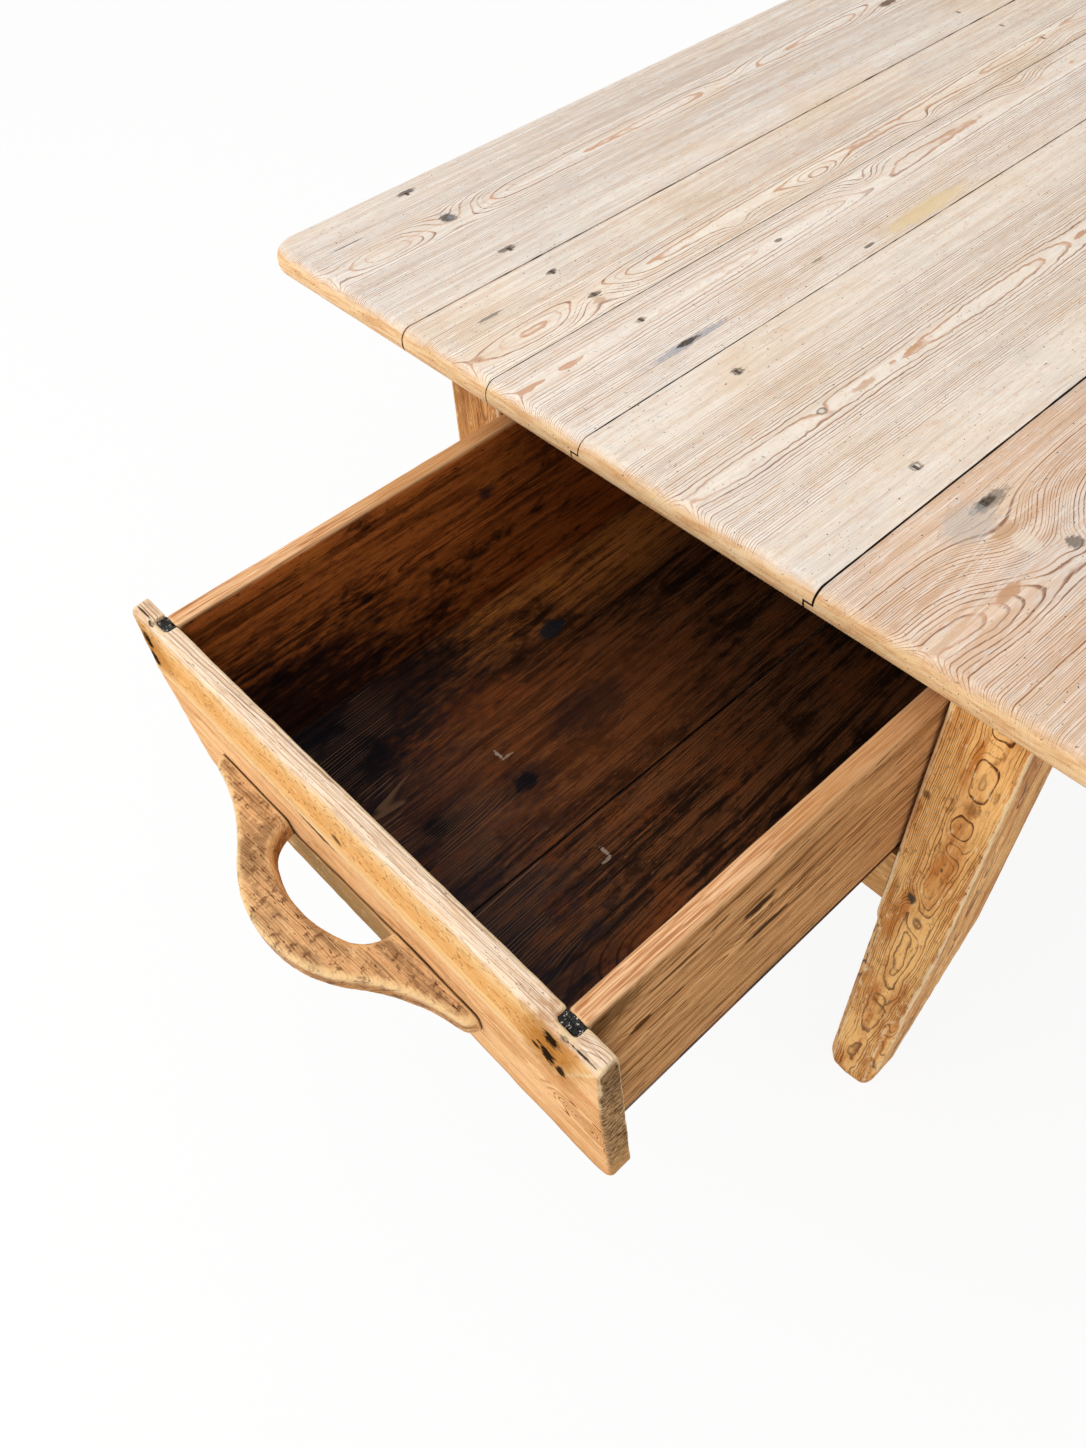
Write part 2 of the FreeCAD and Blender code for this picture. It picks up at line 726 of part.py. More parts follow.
bevel_edges(side_board, "apron_arris", lambda edge: lies_at(edge, z="apron_foot")
            and edge.Length > number("apron_thickness + overrun"))
sockets = sketch_on(side_board, "XY_Plane", "batten_foot")
for batten in BATTENS:
    disc(sockets, apron_middle, f"batten_centre_{batten} + dowel_offset",
         "dowel_radius + joint_clearance")
pocket(side_board, sockets, "dowel_length / 2 + joint_clearance")

# Runners: strips that the drawer slides on, let into the lower rail and nailed to the aprons
strip = new_body("strip")
section = sketch_on(strip, "XZ_Plane", "-runner_front")
rectangle(section, "runner_inner", "runner_foot", "leg_inner", "runner_top")
pad(strip, section, "runner_length", backwards=True)
stub = sketch_on(strip, "XZ_Plane", "-runner_front")
rectangle(stub, "runner_inner + runner_stub_inset", f"{stub_middle} - {stub_half}",
          "leg_inner - runner_stub_inset", f"{stub_middle} + {stub_half}")
pad(strip, stub, "runner_stub_length")
RUNNER_NAIL_COUNT = 3
runner_nails, runner_holes = [], []
for index in range(RUNNER_NAIL_COUNT):
    along = (f"runner_front + runner_nail_inset + {index}"
             f" * (runner_length - 2 * runner_nail_inset) / {RUNNER_NAIL_COUNT - 1}")
    level = "(apron_foot + runner_top) / 2"
    for side, way in ((1, "right"), (-1, "left")):
        head = (f"{side} * (runner_inner + nail_sinking)", along, level)
        runner_nails.append(nail(f"runner_nail_{index}_{way}", head, "runner_nail_length", way))
    head = ("runner_inner + nail_sinking", along, level)
    runner_holes.append(nail(f"runner_hole_{index}", head, "runner_nail_length", "right",
                             "nail_clearance", "nail_sinking + overrun"))
right_apron = keep(cut_by(side_board, runner_holes, "side_apron_right"))
keep(mirrored(right_apron, "side_apron_left"))
right_runner = keep(cut_by(strip, runner_holes, "drawer_runner_right"))
keep(mirrored(right_runner, "drawer_runner_left"))
keep(group("Part::Compound", "runner_nails", runner_nails))

# The drawer front leans in at its foot. It and what is fixed on it are drawn upright, from the
# top edge of its back face: Y is negative outwards and Z is negative downwards
def lean(piece, across="0", out="0", drop="0", turn="0"):
    """Sets a piece at a point of the leaning front, given as its distance outwards from the
    back face and down from the top edge. The piece may be turned further about X."""
    piece.Placement = FreeCAD.Placement(FreeCAD.Vector(), FreeCAD.Rotation(
        FreeCAD.Vector(1, 0, 0), number("front_lean + " + turn)))
    bind(piece, "Placement.Rotation.Angle", "front_lean + " + turn)
    place(piece, (
        across,
        f"drawer_face - ({out}) * cos(front_lean) + ({drop}) * sin(front_lean)",
        f"front_top - ({out}) * sin(front_lean) - ({drop}) * cos(front_lean)",
    ))


def inside_front(level, depth):
    """The Y at which a level line has come a depth into the leaning front from behind."""
    return (f"drawer_face + (front_top - ({level})) * tan(front_lean)"
            f" - ({depth}) / cos(front_lean)")


# Drawer front: one plank that overlaps the legs, planed back along its brow, with a housing for
# each side, a groove for the bottom and blind holes for the handle's dowels
front = new_body("front_plank")
face = sketch_on(front, "XZ_Plane", "front_thickness")
half = "front_width / 2"
outline(face, [
    (f"-({half} - front_lower_radius)", "-front_height"),
    (f"{half} - front_lower_radius", "-front_height", "front_lower_radius", 1),
    (half, "-(front_height - front_lower_radius)"),
    (half, "0"),
    (f"-({half})", "0"),
    (f"-({half})", "-(front_height - front_lower_radius)", "front_lower_radius", 1),
])
pad(front, face, "front_thickness", backwards=True)
bevel_edges(front, "front_arris", lambda edge: lies_at(edge, y="-front_thickness")
            and not lies_at(edge, z="0"))
brow = sketch_on(front, "YZ_Plane")
brow_top = "-(front_thickness - brow_depth)"
outline(brow, [
    ("-front_thickness", "-brow_height"),
    (brow_top, "0"),
    (brow_top, "overrun"),
    ("-(front_thickness + overrun)", "overrun"),
    ("-(front_thickness + overrun)", "-brow_height"),
])
pocket(front, brow)
round_edges(front, "front_brow_radius", lambda edge: lies_at(edge, y=brow_top, z="0"))
housings = sketch_on(front, "XZ_Plane")
for near, far in (("side_inner", "side_outer"), ("-side_outer", "-side_inner")):
    rectangle(housings, near + " - joint_clearance", "-(front_top - side_foot) / cos(front_lean)",
              far + " + joint_clearance", "overrun")
pocket(front, housings, "housing_depth", backwards=True)
dowel_places = ["handle_offset - handle_dowel_offset", "handle_offset + handle_dowel_offset"]
dowel_holes = sketch_on(front, "XZ_Plane", "front_thickness")
for across in dowel_places:
    disc(dowel_holes, across, "-handle_middle", "handle_dowel_radius + joint_clearance")
pocket(front, dowel_holes, "handle_dowel_in_front + joint_clearance")
lean(front)
groove = document.addObject("Part::Box", "bottom_groove")
bind(groove, "Length", "2 * side_outer")
bind(groove, "Width", "bottom_groove_depth + front_thickness")
bind(groove, "Height", "bottom_thickness + joint_clearance")
place(groove, ("-side_outer", "groove_end", "drawer_foot - joint_clearance"))

# Nails through the front into the ends of the sides, two below each other at both ends
FRONT_NAIL_COUNT = 2
front_nails, front_holes = [], {1: [], -1: []}
for hand in (1, -1):
    for index in range(FRONT_NAIL_COUNT):
        drop = f"front_nail_drop + {index} * front_nail_spacing"
        level = f"front_top - ({drop})"
        wood = f"front_thickness - brow_depth * (1 - ({drop}) / brow_height)"
        head = (f"{hand} * side_middle", inside_front(level, wood) + " + nail_sinking", level)
        front_nails.append(nail(f"front_nail_{hand + 1}_{index}", head,
                                "front_nail_length", "back"))
        front_holes[hand].append(nail(f"front_hole_{hand + 1}_{index}", head,
                                      "front_nail_length", "back", "nail_clearance",
                                      "nail_sinking + overrun"))
keep(cut_by(front, [groove] + front_holes[1] + front_holes[-1], "drawer_front"))

# Drawer sides: let into the front, where the top of each tongue is broken off, and trenched
# for the back. They stand on the bottom boards, which are nailed up into them
side = new_body("side_plank")
section = sketch_on(side, "YZ_Plane", "side_inner")
tongue_depth = "housing_depth - joint_clearance"
tongue_top = "side_top - broken_tongue_depth"
outline(section, [
    (inside_front("side_foot", tongue_depth), "side_foot"),
    ("drawer_end", "side_foot"),
    ("drawer_end", "side_top"),
    (inside_front("side_top", "0"), "side_top"),
    (inside_front(tongue_top, "0"), tongue_top),
    (inside_front(tongue_top, tongue_depth), tongue_top),
])
pad(side, section, "side_thickness")
round_edges(side, "side_top_radius",
            lambda edge: lies_at(edge, z="side_top", x="side_inner")
            or lies_at(edge, z="side_top", x="side_outer"))
trench = sketch_on(side, "YZ_Plane", "side_inner")
rectangle(trench, "back_front - joint_clearance", "side_foot",
          "back_front + back_thickness + joint_clearance", "back_top")
pocket(side, trench, "back_housing_depth", backwards=True)
BOTTOM_NAIL_COUNT = 5
bottom_nails, bottom_holes = [], {1: [], -1: []}
for hand in (1, -1):
    for index in range(BOTTOM_NAIL_COUNT):
        along = (f"drawer_face + bottom_nail_inset + {index}"
                 f" * (drawer_depth - 2 * bottom_nail_inset) / {BOTTOM_NAIL_COUNT - 1}")
        head = (f"{hand} * side_middle", along, "drawer_foot + nail_sinking")
        bottom_nails.append(nail(f"bottom_nail_{hand + 1}_{index}", head,
                                 "bottom_nail_length", "up"))
        bottom_holes[hand].append(nail(f"bottom_hole_{hand + 1}_{index}", head,
                                       "bottom_nail_length", "up", "nail_clearance",
                                       "nail_sinking + overrun"))
right_side = keep(cut_by(side, front_holes[1] + bottom_holes[1], "drawer_side_right"))
keep(mirrored(right_side, "drawer_side_left"))

# Drawer back: housed between the sides, lower than they are
back = keep(new_body("drawer_back"))
section = sketch_on(back, "YZ_Plane", "-(side_inner + back_housing_depth - joint_clearance)")
rectangle(section, "back_front", "side_foot", "back_front + back_thickness", "back_top")
pad(back, section, "2 * (side_inner + back_housing_depth - joint_clearance)")
round_edges(back, "side_top_radius", lambda edge: lies_at(edge, z="back_top")
            and edge.Length > number("side_inner"))

# Drawer bottom: two boards along the drawer, in the front's groove and under the other three
# walls. Their joint has opened towards the back
BOTTOMS = {
    "drawer_bottom_left": (-1, [
        ("-bottom_outer", "bottom_front"),
        ("bottom_joint_offset - bottom_joint_front_gap / 2", "bottom_front"),
        ("bottom_joint_offset - bottom_joint_back_gap / 2", "drawer_end"),
        ("-bottom_outer", "drawer_end"),
    ]),
    "drawer_bottom_right": (1, [
        ("bottom_joint_offset + bottom_joint_front_gap / 2", "bottom_front"),
        ("bottom_outer", "bottom_front"),
        ("bottom_outer", "drawer_end"),
        ("bottom_joint_offset + bottom_joint_back_gap / 2", "drawer_end"),
    ]),
}
for label, (hand, corners) in BOTTOMS.items():
    board = new_body("board_" + label)
    plan = sketch_on(board, "XY_Plane", "drawer_foot")
    outline(plan, corners)
    pad(board, plan, "bottom_thickness")
    bevel_edges(board, "bottom_arris",
                lambda edge: lies_at(edge, x=f"{hand} * bottom_outer")
                and edge.Length > number("bottom_thickness + overrun"))
    keep(cut_by(board, bottom_holes[hand], label))
keep(group("Part::Compound", "bottom_nails", bottom_nails))
keep(group("Part::Compound", "front_nails", front_nails))

# Fills: black pitch run into the hollow over each broken tongue
fills = []
for hand, near in ((1, "side_inner"), (-1, "-side_outer")):
    fill = document.addObject("Part::Box", f"fill_{hand + 1}")
    foot = ("(front_rise + broken_tongue_depth) / cos(front_lean)"
            " - housing_depth * tan(front_lean)")
    bind(fill, "Length", "side_thickness")
    bind(fill, "Width", "housing_depth")
    bind(fill, "Height", foot + " - fill_sinking")
    lean(fill, near, "housing_depth", foot)
    fills.append(fill)
keep(group("Part::Compound", "housing_fills", fills))

# Handle: sawn from one plank, a crown between two coves that run out in long feet, with a
# finger hole open to the drawer front. Hands have rounded its upper edges, and the lower ones
# are bevelled
handle = keep(new_body("drawer_handle"))
plan = sketch_on(handle, "XY_Plane", "-(handle_drop + handle_thickness)")


def handle_point(across, out):
    """A point of the handle's plan, from its middle line and outwards from the front."""
    return (f"handle_offset + ({across})", f"-(front_thickness + {out})")


outline(plan, [
    handle_point("-toe_end", "0") + ("toe_radius", 1),
    handle_point("-cove_end", "toe_height") + ("handle_cove_radius", -1),
    handle_point("-crown_end", "handle_reach - crown_fall") + ("handle_crown_radius", 1),
    handle_point("crown_end", "handle_reach - crown_fall") + ("handle_cove_radius", -1),
    handle_point("cove_end", "toe_height") + ("toe_radius", 1),
    handle_point("toe_end", "0"),
    handle_point("grip_end", "0") + ("grip_side_radius", -1),
    handle_point("grip_crown_end", "grip_side_height") + ("grip_crown_radius", -1),
    handle_point("-grip_crown_end", "grip_side_height") + ("grip_side_radius", -1),
    handle_point("-grip_end", "0"),
])
pad(handle, plan, "handle_thickness")
round_edges(handle, "handle_edge_radius", lambda edge: lies_at(edge, z="-handle_drop")
            and not lies_at(edge, y="-front_thickness"))
bevel_edges(handle, "handle_bevel",
            lambda edge: lies_at(edge, z="-(handle_drop + handle_thickness)")
            and not lies_at(edge, y="-front_thickness"))
dowel_holes = sketch_on(handle, "XZ_Plane", "front_thickness")
for across in dowel_places:
    disc(dowel_holes, across, "-handle_middle", "handle_dowel_radius + joint_clearance")
pocket(handle, dowel_holes, "handle_dowel_in_handle + joint_clearance", backwards=True)
lean(handle)
handle_dowels = []
for index, across in enumerate(dowel_places):
    peg = document.addObject("Part::Prism", f"handle_dowel_{index}")
    peg.Polygon = PEG_SIDES
    bind(peg, "Circumradius", "handle_dowel_radius")
    bind(peg, "Height", "handle_dowel_in_front + handle_dowel_in_handle")
    lean(peg, across, "front_thickness + handle_dowel_in_handle", "handle_middle", "(-90)")
    handle_dowels.append(peg)
keep(group("Part::Compound", "handle_dowels", handle_dowels))

document.recompute()
for item in document.Objects:
    if "Invalid" in item.State or "Error" in item.State:
        raise RuntimeError(f"{item.Name} ({item.Label}) failed: {item.State}")
    base = getattr(item, "BaseFeature", None)
    if item.TypeId in ("PartDesign::Pocket", "PartDesign::SubtractivePrism",
                       "PartDesign::SubtractiveWedge") and base is not None:
        if item.Shape.Volume > base.Shape.Volume - TOLERANCE:
            raise RuntimeError(f"{item.Name} cuts nothing")
for piece in nodes:
    if piece.Shape.isNull() or not piece.Shape.isValid():
        raise RuntimeError(f"{piece.Label} has no valid shape")

os.makedirs("parts", exist_ok=True)
for piece in nodes:
    piece.Shape.exportStep(f"parts/{piece.Label}.step")
    print(piece.Label, len(piece.Shape.Solids), round(piece.Shape.Volume))
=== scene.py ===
import json
import math

import bpy
import numpy as np
from mathutils import Matrix

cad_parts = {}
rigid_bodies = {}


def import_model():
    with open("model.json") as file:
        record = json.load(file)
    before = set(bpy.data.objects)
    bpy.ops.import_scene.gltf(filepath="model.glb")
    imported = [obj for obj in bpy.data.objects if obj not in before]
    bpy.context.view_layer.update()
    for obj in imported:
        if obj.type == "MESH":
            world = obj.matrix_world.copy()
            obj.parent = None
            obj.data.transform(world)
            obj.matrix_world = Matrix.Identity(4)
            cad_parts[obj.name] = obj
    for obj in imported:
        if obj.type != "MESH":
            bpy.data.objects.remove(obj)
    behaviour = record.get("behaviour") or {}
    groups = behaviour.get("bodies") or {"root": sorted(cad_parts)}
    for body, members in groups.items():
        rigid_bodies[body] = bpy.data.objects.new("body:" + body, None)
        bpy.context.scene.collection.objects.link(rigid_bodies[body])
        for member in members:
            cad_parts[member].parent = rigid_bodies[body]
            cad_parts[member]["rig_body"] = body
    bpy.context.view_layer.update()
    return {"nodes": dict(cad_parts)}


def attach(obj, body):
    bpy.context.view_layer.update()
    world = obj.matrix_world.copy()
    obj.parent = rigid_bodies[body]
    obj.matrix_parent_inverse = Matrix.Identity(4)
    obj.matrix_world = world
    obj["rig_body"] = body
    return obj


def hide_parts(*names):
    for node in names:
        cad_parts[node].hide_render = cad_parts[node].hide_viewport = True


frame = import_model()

parts = frame["nodes"]


# The camera stands over the right front corner, about 1.4 m up, and looks down past the open
# drawer. Its lens is fitted to a frame 1086 wide and 1448 high.
eye = bpy.data.objects.new("camera", bpy.data.cameras.new("camera"))
bpy.context.scene.collection.objects.link(eye)
bpy.context.scene.camera = eye
eye.location = (0.5076, -1.3470, 1.4344)
eye.rotation_euler = [math.radians(turn) for turn in (38.4918, 2.8264, 47.2376)]
eye.data.sensor_fit = "VERTICAL"
eye.data.sensor_height = 36
eye.data.lens = 28.96


def linear(shade):
    """An sRGB hex colour in Blender's linear values."""
    shares = [int(shade[i:i + 2], 16) / 255 for i in (1, 3, 5)]
    return [c / 12.92 if c <= 0.04045 else ((c + 0.055) / 1.055) ** 2.4 for c in shares] + [1]


def add(tree, kind, feeds, out=0, **settings):
    """Adds a node with its settings and links, and gives one of its outputs."""
    node = tree.nodes.new("ShaderNode" + kind)
    for name, value in settings.items():
        setattr(node, name, value)
    for socket, value in feeds.items():
        if isinstance(value, bpy.types.NodeSocket):
            tree.links.new(value, node.inputs[socket])
        else:
            node.inputs[socket].default_value = value
    return node.outputs[out] if node.outputs else None


# The studio: even pale light from all round, which camera and gloss see as white, and one large
# soft lamp in front of the table on its left.
studio = bpy.data.worlds.new("studio")
bpy.context.scene.world = studio
studio.use_nodes = True
studio.node_tree.nodes.clear()
tree = studio.node_tree
seen = add(tree, "LightPath", {}, out="Is Camera Ray")
for kind in ("Is Glossy Ray", "Is Transmission Ray"):
    other = add(tree, "LightPath", {}, out=kind)
    seen = add(tree, "Math", {0: seen, 1: other}, operation="MAXIMUM")
glow = add(tree, "Background", {"Color": linear("#fdfcfa"), "Strength": 0.80})
white = add(tree, "Background", {"Color": linear("#ffffff"), "Strength": 1})
add(tree, "OutputWorld", {"Surface": add(tree, "MixShader", {0: seen, 1: glow, 2: white})})

lamp = bpy.data.objects.new("soft_lamp", bpy.data.lights.new("soft_lamp", "AREA"))
bpy.context.scene.collection.objects.link(lamp)
lamp.data.shape = "RECTANGLE"
lamp.data.size, lamp.data.size_y = 2.4, 1.8
lamp.data.energy = 52
lamp.location = (-1.1, -3.1, 2.9)
lamp.rotation_euler = [math.radians(turn) for turn in (45, 0, -22)]

# The floor: a plain white sheet of paper. It keeps most of its white for the camera and takes a
# pale shadow under the table.
bpy.ops.mesh.primitive_plane_add(size=16, location=(0, 0, -0.0005))
floor = bpy.context.object
floor.name = "floor"
paper = bpy.data.materials.new("white studio paper")
paper.use_nodes = True
paper.node_tree.nodes.clear()
tree = paper.node_tree
matt = add(tree, "BsdfDiffuse", {"Color": linear("#fafafa")})
lit = add(tree, "Emission", {"Color": linear("#ffffff"), "Strength": 1})
seen = add(tree, "LightPath", {}, out="Is Camera Ray")
share = add(tree, "Math", {0: seen, 1: 0.9}, operation="MULTIPLY")
add(tree, "OutputMaterial", {"Surface": add(tree, "MixShader", {0: share, 1: matt, 2: lit})})
floor.data.materials.append(paper)


# The top is six pine boards, scrubbed for years until they went pale. Their worn edges keep the
# honey colour of old pine, and the dark autumn lines of the rings stand slightly proud.
def begin(name):
    """A new empty material, its tree and the place of each point of the piece."""
    finish = bpy.data.materials.new(name)
    finish.use_nodes = True
    finish.node_tree.nodes.clear()
    tree = finish.node_tree
    return finish, tree, add(tree, "TexCoord", {}, out="Object")


def cover(finish, *names):
    """Gives CAD nodes this finish."""
    for name in names:
        for slot in parts[name].material_slots:
            slot.material = finish


def away_from(tree, place, spot, reach):
    """How far a point lies from a spot, counted in reaches along x, y and z, 0 for no matter."""
    off = add(tree, "VectorMath", {0: place, 1: spot}, operation="SUBTRACT")
    scale = [1 / r if r else 0 for r in reach]
    off = add(tree, "VectorMath", {0: off, 1: scale}, operation="MULTIPLY")
    return add(tree, "VectorMath", {0: off}, out=1, operation="LENGTH")


def apart(tree, value, middle):
    """How far a value lies from a middle, on either side."""
    off = add(tree, "Math", {0: value, 1: middle}, operation="SUBTRACT")
    return add(tree, "Math", {0: off}, operation="ABSOLUTE")


def cloud(tree, place, size, detail=2, rough=0.5):
    """Even noise from 0 to 1, with features of a size in metres along x, y and z."""
    scaled = add(tree, "VectorMath", {0: place, 1: [1 / s for s in size]}, operation="MULTIPLY")
    feeds = {"Vector": scaled, "Scale": 1, "Detail": detail, "Roughness": rough}
    return add(tree, "TexNoise", feeds)


def coat(tree, colour, shade, value, start, end, strength=1.0):
    """Lays a shade over a colour where a value passes softly from start to end."""
    feeds = {0: value, 1: start, 2: end, 4: strength}
    amount = add(tree, "MapRange", feeds, interpolation_type="SMOOTHSTEP")
    feeds = {0: amount, 6: colour, 7: linear(shade) if isinstance(shade, str) else shade}
    return add(tree, "Mix", feeds, out=2, data_type="RGBA")


def spots(tree, log, place, colour, marks, ragged=0.0035, full=0.40, gone=1.15):
    """Knots, nail stains and other marks with ragged edges: spot, reach, colour and strength.
    They are full up to one share of their reach and gone at another."""
    most = 0.65  # of their reach, by which the edges wander
    rag = cloud(tree, log, (ragged, ragged, 3 * ragged), 3)
    rag = add(tree, "Math", {0: rag, 1: 2 * most, 2: -most}, operation="MULTIPLY_ADD")
    for spot, reach, shade, strength in marks:
        off = away_from(tree, place, spot, reach)
        off = add(tree, "Math", {0: rag, 1: off}, operation="ADD")
        colour = coat(tree, colour, shade, off, gone, full, strength)
    return colour


def rings(tree, log, place, ring, sway, lifts=(), sharp=(0.50, 0.88)):
    """The autumn lines, 0 to 1, of rings round the z axis of a log, a ring's width apart. Sway
    moves them in or out in waves, each with its size across and along the log and its depth, and
    lifts do so at knots. Sharp is where in a year a line starts and where it is darkest."""
    flat = add(tree, "VectorMath", {0: log, 1: (1, 1, 0)}, operation="MULTIPLY")
    radius = add(tree, "VectorMath", {0: flat}, out=1, operation="LENGTH")
    for across, along, depth in sway:
        wave = cloud(tree, log, (across, across, along), 1)
        wave = add(tree, "Math", {0: wave, 1: 2 * depth, 2: -depth}, operation="MULTIPLY_ADD")
        radius = add(tree, "Math", {0: radius, 1: wave}, operation="ADD")
    for spot, reach, lift in lifts:
        off = away_from(tree, place, spot, reach)
        square = add(tree, "Math", {0: off, 1: off}, operation="MULTIPLY")
        square = add(tree, "Math", {0: square, 1: -1}, operation="MULTIPLY")
        hump = add(tree, "Math", {0: square}, operation="EXPONENT")
        radius = add(tree, "Math", {0: hump, 1: lift, 2: radius}, operation="MULTIPLY_ADD")
    # The years differ in width and in how dark their line is.
    count = add(tree, "Math", {0: radius, 1: ring}, operation="DIVIDE")
    drift = add(tree, "TexNoise", {"W": count, "Scale": 0.15, "Detail": 1}, noise_dimensions="1D")
    count = add(tree, "Math", {0: drift, 1: 4, 2: count}, operation="MULTIPLY_ADD")
    year = add(tree, "Math", {0: count}, operation="FLOOR")
    part = add(tree, "Math", {0: count}, operation="FRACT")
    rise = add(tree, "MapRange", {0: part, 1: sharp[0], 2: sharp[1]},
               interpolation_type="SMOOTHSTEP")
    fall = add(tree, "MapRange", {0: part, 1: 1, 2: 0.92}, interpolation_type="SMOOTHSTEP")
    late = add(tree, "Math", {0: rise, 1: fall}, operation="MINIMUM")
    luck = add(tree, "TexWhiteNoise", {"W": year}, noise_dimensions="1D")
    strength = add(tree, "MapRange", {0: luck, 3: 0.4, 4: 1})
    return add(tree, "Math", {0: late, 1: strength}, operation="MULTIPLY")


def worn_thin(tree, late, value, start, end, least):
    """Lines that fade to their least strength where a value comes to its end."""
    share = add(tree, "MapRange", {0: value, 1: start, 2: end, 3: 1, 4: least},
                interpolation_type="SMOOTHSTEP")
    return add(tree, "Math", {0: late, 1: share}, operation="MULTIPLY")


def waxed(tree, colour, rough, height, depth, shine=0.05):
    """Ends a wood with its relief, in metres, and the dull shine that old wax has left."""
    relief = add(tree, "Bump", {"Height": height, "Distance": depth})
    feeds = {"Base Color": colour, "Roughness": rough, "Normal": relief,
             "Specular IOR Level": shine}
    skin = add(tree, "BsdfPrincipled", feeds)
    add(tree, "OutputMaterial", {"Surface": skin})


